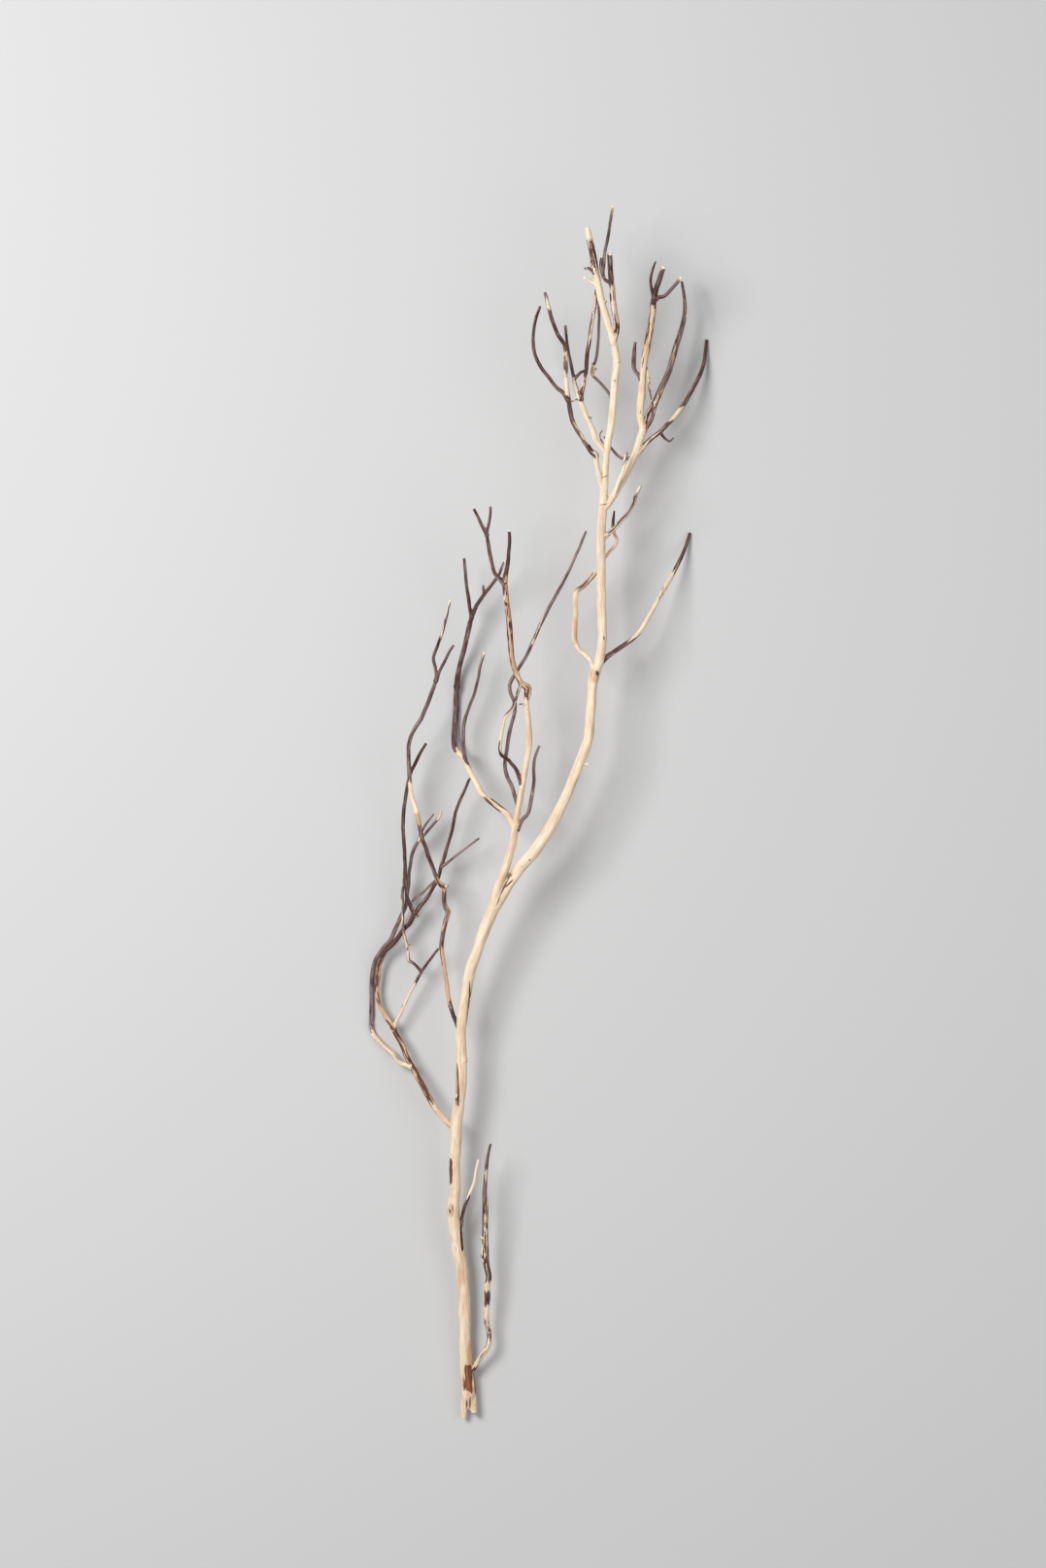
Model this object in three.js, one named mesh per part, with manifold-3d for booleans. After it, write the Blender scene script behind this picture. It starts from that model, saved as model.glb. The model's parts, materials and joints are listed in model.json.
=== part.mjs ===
import * as THREE from "three";
import { mergeVertices } from "three/addons/utils/BufferGeometryUtils.js";
import Module from "manifold-3d";

// A fallen, mostly barkless tree branch that lies on its twigs. Millimetres, +Z up, the butt towards -Y.
// Every limb is a list of [across, down, height, radius]: across and down are measured over the lying
// branch from a corner beyond its crown, height is that of the limb's centreline above the ground.

const GAP = 0.3; // clearance between a limb and the one that it grows from
const RING_STEP = 16; // longest stretch of a limb between two rings
const THICK = 3.4; // a limb at least this thick somewhere gets more sides
const SIDES_THICK = 8;
const SIDES_THIN = 6;
const ROUNDNESS = 1.05; // lets a many-sided section match the round one in size
const CENTRE_SLACK = 0.3; // a ring this close to the line between its neighbours is left out
const RADIUS_SLACK = 0.2;
const LONGEST_STRAIGHT = 45;
const TIP_REACH = 0.45; // length of a rounded end in radii
const TIP_WIDTH = 0.6; // radius of the last ring of a rounded end in radii
const GROUND_DEPTH = 40;
const GROUND_SPAN = 3000;

const BARE = { color: 0xe6d3b1, roughness: 0.78, metalness: 0 };
const PATCHY = { color: 0xb08a6c, roughness: 0.84, metalness: 0 };
const BARK = { color: 0x6e463a, roughness: 0.88, metalness: 0 };

const wasm = await Module();
wasm.setup();

function toSolid(geometry) {
  const shape = geometry.clone();
  shape.deleteAttribute("normal");
  shape.deleteAttribute("uv");
  const merged = mergeVertices(shape, 1e-5);
  const vertProperties = new Float32Array(merged.attributes.position.array);
  const triVerts = new Uint32Array(merged.index.array);
  return new wasm.Manifold(new wasm.Mesh({ numProp: 3, vertProperties, triVerts }));
}

function toGeometry(solid) {
  const mesh = solid.getMesh();
  const geometry = new THREE.BufferGeometry();
  geometry.setAttribute("position", new THREE.BufferAttribute(mesh.vertProperties, 3));
  geometry.setIndex(new THREE.BufferAttribute(mesh.triVerts, 1));
  geometry.computeVertexNormals();
  return geometry;
}

function place([across, down, height]) {
  return new THREE.Vector3(across, -down, height);
}

// Whether the ring between two others adds nothing to the shape.
function isIdle(before, ring, after) {
  const chord = new THREE.Line3(before.centre, after.centre);
  const share = chord.closestPointToPointParameter(ring.centre, true);
  const onChord = chord.at(share, new THREE.Vector3());
  const expected = THREE.MathUtils.lerp(before.radius, after.radius, share);
  const straight = onChord.distanceTo(ring.centre) < CENTRE_SLACK;
  const even = Math.abs(expected - ring.radius) < RADIUS_SLACK;
  return straight && even && chord.distance() < LONGEST_STRAIGHT;
}

function thinOut(rings) {
  const kept = [rings[0]];
  for (let i = 1; i < rings.length - 1; i += 1) {
    if (!isIdle(kept[kept.length - 1], rings[i], rings[i + 1])) {
      kept.push(rings[i]);
    }
  }
  kept.push(rings[rings.length - 1]);
  return kept;
}

// The rings of a limb: centre, direction and radius, from its root to its tip.
function ringsOf(points, grow, roundTip) {
  const curve = new THREE.CatmullRomCurve3(points.map(place), false, "centripetal");
  const last = points.length - 1;
  const rings = [];
  for (let i = 0; i < last; i += 1) {
    const stretch = place(points[i]).distanceTo(place(points[i + 1]));
    const steps = Math.max(1, Math.ceil(stretch / RING_STEP));
    for (let k = 0; k < steps; k += 1) {
      const share = k / steps;
      const t = (i + share) / last;
      const radius = THREE.MathUtils.lerp(points[i][3], points[i + 1][3], share);
      rings.push({ centre: curve.getPoint(t), along: curve.getTangent(t), radius });
    }
  }
  rings.push({ centre: curve.getPoint(1), along: curve.getTangent(1), radius: points[last][3] });
  const first = rings[0];
  first.centre.addScaledVector(first.along, -grow);
  const end = rings[rings.length - 1];
  end.centre.addScaledVector(end.along, grow);
  if (roundTip) {
    const centre = end.centre.clone().addScaledVector(end.along, TIP_REACH * end.radius);
    rings.push({ centre, along: end.along, radius: TIP_WIDTH * end.radius });
  }
  return thinOut(rings);
}

// A cylinder bent ring by ring along the limb's points.
function limb(points, grow, roundTip = true) {
  const rings = ringsOf(points, grow, roundTip);
  const thickest = Math.max(...points.map((point) => point[3]));
  const sides = thickest >= THICK ? SIDES_THICK : SIDES_THIN;
  const geometry = new THREE.CylinderGeometry(1, 1, 1, sides, rings.length - 1);
  const position = geometry.attributes.position;
  const worldUp = new THREE.Vector3(0, 0, 1);
  for (let i = 0; i < position.count; i += 1) {
    const ring = rings[Math.round((0.5 - position.getY(i)) * (rings.length - 1))];
    const side = worldUp.clone().cross(ring.along).normalize();
    const up = ring.along.clone().cross(side);
    const radius = ring.radius * ROUNDNESS + grow;
    const vertex = ring.centre.clone();
    vertex.addScaledVector(side, position.getX(i) * radius);
    vertex.addScaledVector(up, -position.getZ(i) * radius);
    position.setXYZ(i, vertex.x, vertex.y, vertex.z);
  }
  geometry.index.array.reverse();
  return toSolid(geometry);
}

function fuse(solids) {
  return solids.reduce((whole, solid) => whole.add(solid));
}

// A cut can leave a crumb on the far side of the parent limb: only the limb itself stays.
function mainBody(solid) {
  const bodies = solid.decompose();
  return bodies.reduce((main, body) => (body.volume() > main.volume() ? body : main));
}

function lowerStem(grow) {
  const stem = limb([
    [482.6, 1445, 7.6, 7.2], [482.5, 1440, 7.5, 7.6], [482, 1427, 7.6, 7.7], [480.2, 1408, 8.6, 6.5],
    [478.5, 1376, 11, 6.1], [477.8, 1350, 13.5, 6.5], [477.8, 1331, 15.5, 6.2], [475.1, 1305, 18, 5.8],
    [472, 1290, 19.5, 6.2], [469.5, 1272, 21.5, 6.4], [466.8, 1248, 24, 6.4], [468.1, 1230, 25.5, 5.6],
    [468.5, 1206, 28, 5.5], [469, 1181, 30.5, 5.7], [469.8, 1157, 33, 5.9], [473, 1133, 35, 5.6],
    [474.8, 1115, 36.5, 5.8], [475.1, 1093, 38.5, 5.5], [474.8, 1075, 40, 5.1], [474.8, 1057, 41.5, 5.2],
    [476.7, 1039, 43.5, 5.6], [479.7, 1021, 45.5, 5.6], [482.8, 1005, 47.5, 5.6], [488.2, 987, 49.5, 5.7],
    [494.3, 969, 52, 5.9], [500.4, 953, 54, 6], [508, 935, 56, 6.3],
  ], grow, false);
  const leftProng = limb([
    [479.4, 1432, 7.4, 3.6], [477.9, 1452, 7, 3.5], [477.6, 1461.5, 6.6, 2.2],
  ], grow);
  const rightProng = limb([
    [485.4, 1432, 8.2, 4], [486.8, 1448, 8.8, 4.3], [488.1, 1455.5, 9.3, 3],
  ], grow);
  const leftKnob = limb([[467, 1249, 24, 4.6], [462.4, 1247, 24.5, 2.8]], grow);
  const rightKnob = limb([[476, 1091, 38.5, 4], [480.6, 1090, 39, 2.6]], grow);
  const paleTwig = limb([
    [470.5, 1270, 22, 2.3], [474.5, 1262, 24.5, 1.8], [475.5, 1254, 26.5, 1.6], [478.6, 1241.6, 29, 1.6],
    [483.7, 1229, 31.5, 1.6], [488.3, 1217, 34, 1.5], [489.8, 1206, 36, 1.4], [492.5, 1194, 38, 1.2],
  ], grow);
  return fuse([stem, leftProng, rightProng, leftKnob, rightKnob, paleTwig]);
}

function buttSideTwig(grow) {
  const twig = limb([
    [481, 1418, 9.5, 3], [486, 1412, 10.5, 2.7], [489.1, 1407.6, 11.5, 2.4], [494.8, 1398.6, 13.5, 2.4],
    [501.2, 1389.7, 15.5, 2.5], [503.8, 1381, 17, 2.5], [503.1, 1372, 18, 2.5], [501, 1361.6, 19.3, 2.5],
    [501, 1351, 20.5, 2.6], [501.6, 1337, 22.2, 2.8], [501.9, 1326, 23.5, 2.9], [503.1, 1316, 24.7, 3],
    [501, 1303, 26.3, 3.3], [500, 1287.6, 28, 3.2], [499.5, 1272, 30, 3.1], [499.5, 1257, 31.8, 3],
    [499.5, 1241.6, 33.5, 2.9], [499, 1226, 35.3, 2.3], [500, 1213, 37, 1.9], [501, 1199, 39, 1.7],
    [503.1, 1186.5, 41, 1.4], [505.1, 1177.5, 42.5, 1],
  ], grow);
  const spur = limb([[498.5, 1275.5, 29.6, 1.7], [494.2, 1273.9, 30.5, 1]], grow);
  return fuse([twig, spur]);
}

function rightLeader(grow) {
  const leader = limb([
    [502, 949, 54.5, 5.9], [508, 935, 56, 6.1], [515.7, 923, 57.5, 5.6], [525, 907, 59.5, 5.6],
    [537, 890.5, 61, 5.8], [549.5, 876.7, 62.5, 6], [561.4, 859.6, 64, 6], [573, 839, 65.5, 5.5],
    [583, 818.6, 66.5, 5.3], [591.8, 797, 67.5, 5.2], [598, 781, 68, 5.2], [604.6, 763, 68, 5.1],
    [607, 747, 67.5, 5.1], [608.2, 729, 67, 4.9], [609.3, 711, 66.5, 4.8], [611.4, 695, 66, 5.6],
    [616.8, 681, 65.5, 5], [619.2, 667, 65, 4.7], [619.8, 649, 64, 4.6], [619.2, 622, 62.5, 4.6],
    [618.9, 597, 61, 4.6], [618.9, 573, 60, 4.6], [619, 553, 59, 4.5], [620, 533, 58.3, 4.4],
    [621, 518, 58, 4.7],
  ], grow, false);
  const stub = limb([[598, 783, 68, 2.6], [602, 785.2, 68.5, 1.8], [605.5, 786.2, 69, 1.5]], grow);
  return fuse([leader, stub]);
}

function leftLeader(grow) {
  const leader = limb([
    [504, 942, 56, 4.4], [508, 929, 57.5, 4.7], [512.7, 913.5, 59.5, 4.6], [518.8, 898, 62, 4.4],
    [523.4, 883, 64.5, 4.2], [528, 867.6, 67, 4], [530.3, 852, 69, 3.6], [532.4, 837.4, 71, 3.1],
    [537.1, 812.5, 74, 3], [541, 789.6, 77, 3.1], [544.8, 763, 80, 3.2], [544.2, 743.7, 83, 3],
    [541.9, 722.6, 86, 3], [543, 708, 88, 3.6], [536.4, 702.3, 89.5, 2.7], [531.4, 692.3, 91, 2.7],
    [527.3, 679, 93, 2.7], [525.6, 659, 96, 2.7], [523.9, 636, 99, 2.7], [520.6, 612.8, 102.5, 2.7],
    [519.8, 597.5, 105, 2.6], [522.3, 583, 107.5, 2], [523.9, 569.6, 110, 1.8], [524.8, 556, 112.5, 1.7],
    [524.3, 545.8, 114, 1.5],
  ], grow);
  const bypass = limb([
    [537.5, 807, 74.5, 2.2], [531.4, 791.5, 78, 1.9], [523.8, 782, 81, 1.8], [516.1, 776, 83, 1.8],
    [515.1, 766.6, 84.5, 1.8], [517.1, 751.3, 86.5, 1.8], [519.9, 738, 88, 1.7], [527.6, 728.4, 89.5, 1.7],
    [531.4, 717, 90.3, 1.6], [536, 704, 89.5, 1.7],
  ], grow);
  const greyTwig = limb([
    [532, 854, 69, 2.4], [538, 843, 67.5, 2], [542.9, 837.4, 66, 1.9], [546.7, 824, 63, 1.8],
    [549.6, 805, 59, 1.7], [549.6, 789.6, 56, 1.6], [550.5, 780, 54, 1.5], [555.3, 767, 51, 1.1],
  ], grow);
  const endTwig = limb([
    [519.9, 601, 104.5, 2.3], [514, 595.3, 105, 2], [509.8, 590.4, 105.5, 1.9], [506.5, 579.6, 106.5, 1.8],
    [504, 566.3, 108, 1.8], [501.6, 549.7, 110, 1.8], [503.2, 539.8, 112, 1.5], [504.9, 529.8, 114, 1.4],
    [505.2, 522, 115.5, 1.2],
  ], grow);
  const endFork = limb([[502, 552, 109.8, 1.8], [494.9, 538, 112, 1.6], [488.3, 524.5, 114, 1.3]], grow);
  return fuse([leader, bypass, greyTwig, endTwig, endFork]);
}

function trailingTwig(grow) {
  return limb([
    [534, 830, 72, 2.2], [527.6, 810.6, 70, 1.9], [521.8, 797, 69, 1.9], [519.9, 785.8, 69, 1.8],
    [521.8, 770.5, 70, 1.8], [524.7, 753, 72, 1.8], [528.5, 738, 73.5, 1.8], [530.4, 724.5, 75, 1.8],
    [525.7, 713, 76.5, 1.8], [524.7, 705.4, 77.5, 1.8], [527.6, 698, 78.5, 1.8], [533.1, 689, 79.5, 1.7],
    [541.4, 675.8, 80.5, 1.7], [551.3, 654, 82.5, 1.7], [561.3, 632.7, 85, 1.7], [571.2, 614.4, 87.5, 1.6],
    [582.8, 593, 90.5, 1.5], [595.2, 566.3, 95, 1.4], [603.2, 546.8, 98, 1.2],
  ], grow);
}

function outerLeftLimb(grow) {
  const limbs = limb([
    [530.5, 853, 69, 3.4], [521.8, 837.4, 63, 3], [512.3, 829.8, 57.5, 2.9], [502.7, 822, 51.5, 2.9],
    [496, 816.4, 46.5, 2.9], [489.3, 803, 39, 2.9], [481.7, 789.6, 31, 2.9], [475.9, 778, 23.5, 2.9],
    [470.2, 772.4, 18.5, 2.9], [467.7, 764.7, 12.5, 2.9], [467.7, 755, 7, 2.9], [468.3, 743.7, 3.4, 2.9],
    [469.2, 730, 2.4, 2.9], [469.2, 722.6, 2.7, 2.8], [470.2, 703.5, 6, 2.6],
  ], grow, false);
  const innerTwig = limb([
    [482.5, 791, 31, 2.3], [479.3, 781, 28.5, 1.9], [477.8, 774, 27.5, 1.8], [476.9, 761, 27, 1.7],
    [477.8, 743.7, 27, 1.7], [481.7, 730, 28, 1.6], [488.4, 713, 30, 1.6], [492.2, 698, 32, 1.5],
    [495, 682.4, 35, 1.4], [498.8, 670.5, 38, 1.2],
  ], grow);
  return fuse([limbs, innerTwig]);
}

function outerLeftTip(grow) {
  const tip = limb([
    [470, 707, 5.4, 2.6], [470.2, 703.5, 6, 2.6], [473, 684.4, 11, 2.5], [477.8, 667, 16.5, 2.4],
    [481.7, 650, 22, 2.4], [485.5, 634.6, 27, 2.3], [491.2, 621, 31.5, 2], [498.2, 611, 35, 1.8],
    [506.5, 600.5, 39, 1.7], [513.2, 591, 43, 1.5], [519.8, 576, 49, 1.3],
  ], grow);
  const sideTwig = limb([
    [485.5, 636, 26.5, 1.9], [482.6, 617, 32, 1.7], [480.1, 598, 38, 1.6], [477.8, 573.8, 46, 1.3],
  ], grow);
  const spur = limb([[498.4, 612, 34.8, 1.4], [497.5, 601.5, 38, 0.9]], grow);
  return fuse([tip, sideTwig, spur]);
}

function middleLeftLimb(grow) {
  const lower = limb([
    [475, 1063, 41, 2.6], [470, 1053, 42, 2.1], [466.7, 1045, 42, 2], [462.1, 1028, 41.5, 2.1],
    [459.1, 1008, 40.5, 2.1], [456.8, 993, 40, 2.2], [454.5, 974.7, 39.5, 2.4], [456, 960, 39.5, 2.2],
    [459.3, 946, 39.5, 2.2], [461.2, 938.4, 39.5, 2.4], [458.7, 933, 39.5, 2.3], [457.4, 927, 39.5, 2.1],
    [457.4, 917, 39, 2.1], [457.4, 912.3, 39, 2.6], [454.2, 910.4, 39, 2.4], [451, 907, 38.5, 2.2],
    [447.8, 899.5, 38, 2], [445.3, 892, 38, 2], [441.5, 882, 37.5, 2], [438.3, 872.8, 37.5, 2],
    [434.4, 862, 37.5, 2.1], [431, 845, 38, 2.1], [428.2, 832.6, 39, 2.2],
  ], grow, false);
  const spur = limb([[457.5, 912.8, 39, 1.8], [461.4, 911, 40, 1.1]], grow);
  return fuse([lower, spur]);
}

function middleLeftTip(grow) {
  const upper = limb([
    [428.8, 836, 38.8, 2.2], [428.2, 832.6, 39, 2.2], [424, 818.6, 40.5, 2.2], [421.9, 804.5, 42, 2.1],
    [421.2, 792, 44, 2.1], [420.5, 776.5, 46.5, 2], [421.2, 764, 49, 2], [426.1, 751, 51.5, 2],
    [433, 740, 54, 2], [437.7, 730, 56.5, 1.9], [444.3, 713, 60.5, 1.9], [449.1, 698, 64, 1.8],
    [448.2, 686, 67, 1.6], [446.3, 676.7, 69.5, 1.5], [451, 663, 73, 1.5], [455.8, 650, 76.5, 1.4],
    [459.7, 634.6, 80, 1.3], [464, 617, 84.5, 1.2],
  ], grow);
  const fork = limb([
    [448.5, 701, 63.5, 1.9], [453, 690, 65.5, 1.5], [458.7, 678.6, 67.5, 1.5], [463.5, 669, 69.5, 1.4],
    [467, 663.8, 71, 1.2],
  ], grow);
  return fuse([upper, fork]);
}

function lowerLeftLimb(grow) {
  return limb([
    [470.5, 1164, 32.5, 3.3], [466, 1160, 32, 3.1], [463.2, 1157.7, 31.3, 3], [456.5, 1151, 29.8, 2.9],
    [449.9, 1142.8, 28, 2.9], [443.3, 1133, 26, 2.9], [436.6, 1121, 23.8, 2.9], [433.1, 1114.7, 22.6, 2.9],
    [426.1, 1102, 20.3, 2.8], [419.1, 1089, 18, 2.7], [413.5, 1075, 15.8, 2.6], [407.9, 1065.6, 14.3, 2.6],
    [403.7, 1056, 13, 2.6],
  ], grow, false);
}

function innerLoop(grow) {
  const loop = limb([
    [405.3, 1059.6, 13.5, 2.6], [403.7, 1056, 13, 2.6], [396.7, 1046, 11.5, 2.5], [391, 1036, 10.5, 2.4],
    [388.2, 1026, 10, 2.4], [387.5, 1015, 10, 2.4], [388.5, 1005, 10.5, 2.4], [390.3, 992.4, 11.5, 2.3],
    [392.7, 985, 12.5, 2.3], [395.6, 979.5, 13.5, 2.3], [401.8, 973.7, 15, 2.2], [407.5, 967.5, 16.5, 2.2],
    [411.4, 962, 17.5, 2.2], [416.6, 955, 19, 2.2], [420.9, 951, 20, 2.2], [426.2, 941, 22, 2.3],
  ], grow, false);
  const spur = limb([[425.6, 942.3, 21.8, 1.7], [430.4, 942.6, 22.6, 1.1]], grow);
  return fuse([loop, spur]);
}

function outerLoop(grow) {
  const loop = limb([
    [423.8, 1098, 19.5, 2.6], [418, 1096.5, 17, 2.4], [410.7, 1093.6, 13.5, 2.3], [403.7, 1085, 10, 2.3],
    [395.3, 1078, 7, 2.3], [388.2, 1071, 4.8, 2.3], [383.3, 1064, 3, 2.3], [381.2, 1055.7, 2, 2.3],
    [381.9, 1043, 1.8, 2.2], [381.9, 1026, 2, 2.2], [382.2, 1009.6, 3.2, 2.2], [384.1, 995, 4.6, 2.2],
    [387.4, 986.7, 5.6, 2.2], [391.7, 979.5, 6.6, 2.1], [396.5, 973, 7.6, 2.1], [401.8, 967.5, 8.6, 2.1],
    [406, 957.5, 10, 2.1], [411.5, 945, 12, 2], [417.2, 933, 14, 1.9], [419.1, 917, 16, 1.8],
    [420.4, 908, 17, 1.8], [421, 898, 18, 1.8], [422.3, 888.7, 19, 1.7], [423.9, 879, 20, 1.7],
    [426.8, 871.5, 20.5, 1.7], [431.3, 864, 21, 1.6], [438.8, 856.5, 22, 1.5], [445.8, 848, 23, 1.4],
    [452.8, 839.6, 24.5, 1.2], [454.2, 834.3, 25.5, 1.1],
  ], grow);
  const sideTip = limb([
    [430.5, 865.5, 21, 1.6], [435, 853, 23, 1.2], [440.2, 845, 25, 1.1], [446.3, 837, 27, 1],
  ], grow);
  return fuse([loop, sideTip]);
}

function uprightTwig(grow) {
  return limb([
    [426.6, 942, 22, 2], [425.5, 939, 22.3, 1.9], [421.7, 931, 23.5, 1.9], [419, 924, 24.5, 1.9],
    [418, 914, 25.5, 1.9], [417, 904, 26.3, 1.9], [416.9, 892, 27, 1.9], [416.3, 879, 27.8, 1.8],
    [415.3, 860, 29, 1.8], [414.9, 846.6, 29.5, 1.8], [416.3, 827, 30, 1.8], [420, 805, 30.5, 1.8],
    [423.3, 793, 31.5, 1.7], [428.2, 783.5, 32.5, 1.6], [433.1, 773.7, 34, 1.5], [438.6, 764.5, 36, 1.3],
  ], grow);
}

function diagonalTwig(grow) {
  const twig = limb([
    [425.4, 942.5, 21.8, 2], [431.9, 933, 23, 1.9], [437, 927, 23.8, 1.9], [441.5, 920.6, 24.5, 1.9],
    [445.9, 913, 25, 1.9], [449.7, 906, 25.5, 1.8], [452.3, 898, 26, 1.8], [454.2, 890.6, 26.5, 1.8],
    [457.4, 881, 27, 1.8], [460.6, 870, 27.8, 1.7], [463.8, 860, 28.5, 1.7], [470.2, 831.7, 31, 1.6],
    [477.8, 814.5, 33.5, 1.5], [483.2, 801, 36, 1.3],
  ], grow);
  const sideTwig = limb([
    [453.8, 892, 26.5, 1.6], [461.2, 887.3, 28, 1.2], [470, 879.8, 30, 1.2], [480, 872, 32, 1.1],
    [493.2, 862.4, 35, 1],
  ], grow);
  const dimTwig = limb([
    [450.2, 905, 25.5, 1.6], [446.5, 908, 23.5, 1.4], [441.5, 912.3, 21, 1.3], [434.4, 918.7, 17, 1.3],
    [426.8, 924.4, 13.5, 1.2], [424, 928, 12, 1.1],
  ], grow);
  return fuse([twig, sideTwig, dimTwig]);
}

function crossTwig(grow) {
  const twig = limb([
    [403.9, 1061, 13.2, 2.1], [407.5, 1052, 15, 1.8], [412.1, 1043, 16.5, 1.6], [419.1, 1027.7, 18.5, 1.6],
    [427.5, 1012, 20.5, 1.5], [433.8, 1000, 22, 1.5], [443, 987, 24, 1.4], [451.2, 976.2, 26, 1.2],
  ], grow);
  const hook = limb([
    [434.2, 1000.5, 22, 1.6], [430, 996, 22.3, 1.4], [425.2, 991.4, 22.6, 1.4], [421, 988.6, 23, 1.7],
    [420, 980, 23.8, 1.4], [418.5, 972, 24.4, 1.4], [416.1, 963.7, 24.8, 1.4], [414.7, 954, 24.4, 1.4],
    [414.7, 943, 22.8, 1.4], [414.5, 932, 20.8, 1.4], [413.7, 922, 19.2, 1.7], [415, 911, 18.2, 1.3],
    [415.5, 903.4, 17.5, 1.1],
  ], grow);
  return fuse([twig, hook]);
}

function crownLeader(grow) {
  const leader = limb([
    [620.8, 522, 58, 4.5], [621, 518, 58.2, 4.5], [622.2, 503, 59, 3.9], [623.3, 481.5, 60.5, 3.6],
    [624.5, 464, 62, 3.6], [628.5, 440, 64.5, 3.8], [631, 418, 67, 3.8], [632.9, 393, 70, 3.8],
    [634.8, 370, 73, 3.8], [631, 349, 76, 3.7], [624, 326, 79.5, 3.5], [619.8, 311.6, 82, 3.5],
    [616.7, 298, 84.5, 3.5], [613.7, 281, 87.5, 3.4], [610.9, 266, 90.5, 3.4], [608.7, 255, 92.5, 3.3],
    [606.4, 244.6, 94.5, 3.1], [604.7, 235, 96.2, 2.6],
  ], grow);
  const whiteStub = limb([[615, 293.5, 85, 2.1], [607, 289, 87, 1.7], [601, 285.6, 88.5, 1.4]], grow);
  const curl = limb([[612.6, 282, 88, 1.7], [607, 277.5, 90, 1.2], [602, 277.6, 91.5, 0.8]], grow);
  const thorn = limb([[620, 312, 82, 1.7], [624.2, 309.8, 83, 1]], grow);
  const dimTwig = limb([
    [631, 414, 67, 1.9], [628, 406.5, 64.5, 1.5], [622.8, 399, 62.8, 1.4], [616.5, 391.5, 62, 1.4],
    [609.8, 384.5, 61.5, 1.6], [609.8, 378.5, 61, 1.5], [613.4, 370, 60.2, 1.4], [615.3, 358.8, 59, 1.4],
    [616.3, 341.6, 57.5, 1.4], [616.8, 325, 56, 1.3], [616, 308.4, 54.5, 1.2],
  ], grow);
  return fuse([leader, whiteStub, curl, thorn, dimTwig]);
}

function crownTwinTwig(grow) {
  const twig = limb([
    [630.5, 354, 75.5, 3.1], [632.9, 347, 77.2, 2.9], [634.6, 337.5, 79, 2.9], [633.2, 325, 82, 2.9],
    [631, 311.6, 85.5, 2.8], [630.1, 298.2, 88.5, 2.7], [628.8, 284.8, 91.5, 2.7], [627.9, 271.4, 94.5, 2.6],
    [627.4, 261.5, 96.8, 2.3],
  ], grow);
  const tallTip = limb([
    [629.5, 292, 90.2, 2], [625.5, 290, 92.5, 1.7], [622.3, 288, 94, 1.6], [620.8, 282, 96, 1.6],
    [621.3, 272, 98.5, 1.6], [622.7, 260, 101.5, 1.6], [624.5, 251, 104, 1.5], [627.3, 235, 108, 1.5],
    [629.2, 222, 111, 1.4], [631.1, 213, 113.3, 1.2],
  ], grow);
  const stub = limb([
    [621.3, 286, 95, 1.7], [618.8, 278, 94.8, 1.5], [618.3, 271, 94.8, 1.5], [619.5, 264.6, 95.2, 1.3],
  ], grow);
  return fuse([twig, tallTip, stub]);
}

function crownLeftTwig(grow) {
  const twig = limb([
    [622.5, 508, 58.8, 3.1], [620, 500, 60, 2.8], [616.6, 487, 63, 2.6], [613.9, 475.7, 65.5, 2.6],
    [613, 468, 67.5, 3], [609.4, 464.8, 68.5, 2.6], [605, 458.4, 70, 2.3], [599.2, 450.2, 72, 2.3],
    [593.5, 441.2, 74, 2.3], [589, 431, 76.5, 2.3], [586.5, 418.3, 79, 2.3], [584.6, 407.4, 81.5, 2.4],
    [583.3, 395.9, 84, 2.3], [582.7, 380, 87.5, 2.2], [582, 368, 90, 2.2], [581, 356, 92.5, 2],
    [574.5, 345, 95.5, 1.9], [567.8, 328, 99.5, 1.9], [564.4, 315, 102.5, 1.9], [561.1, 302, 105.3, 1.4],
  ], grow);
  const outerFork = limb([
    [585.3, 412, 80.5, 2.3], [579.5, 404, 79, 1.9], [573.6, 399, 77.5, 1.8], [565.9, 389.4, 74.5, 1.8],
    [557.3, 378, 71, 1.8], [551.6, 366.5, 67.5, 1.7], [549.1, 355, 64.5, 1.7], [549.1, 343.5, 61.5, 1.6],
    [551.6, 328, 58, 1.6], [556.2, 314.4, 55, 1.3],
  ], grow);
  return fuse([twig, outerFork]);
}

function crownMiddleTwig(grow) {
  const twig = limb([
    [624.6, 466, 61.5, 3.2], [618.4, 459, 64, 2.9], [613.9, 453.3, 66, 2.8], [611.4, 445, 68, 2.8],
    [608.2, 437.4, 69.5, 2.7], [603.7, 428.5, 71, 2.7], [600.5, 419.5, 72.5, 2.7], [596.7, 410.6, 74, 2.6],
    [593.5, 401, 75.5, 2.3], [590.9, 391.5, 77, 2], [589.8, 383.7, 77.5, 1.7], [587, 370.3, 78.5, 1.6],
    [584.7, 358.8, 79.5, 1.6], [583.1, 347, 80.5, 1.5], [582.3, 335, 81.5, 1.3],
  ], grow);
  const darkFork = limb([
    [597.5, 412, 73.8, 2.4], [599.4, 400.5, 73, 2.1], [601.8, 391, 72, 2], [603.5, 380, 71.5, 2],
    [604.4, 364.5, 71, 2], [607.1, 349, 70.5, 1.9], [609, 334, 70, 1.8], [611.4, 320.5, 69.5, 1.7],
    [613.2, 307, 69, 1.6], [613.7, 298, 68.5, 1.4],
  ], grow);
  const link = limb([[591.4, 389.5, 77, 1.5], [597.5, 383.5, 75, 1.3], [603.4, 380.5, 72, 1.4]], grow);
  const thorn = limb([[603.8, 430, 71, 1.8], [608.8, 429.4, 72, 0.9]], grow);
  return fuse([twig, darkFork, link, thorn]);
}

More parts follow.
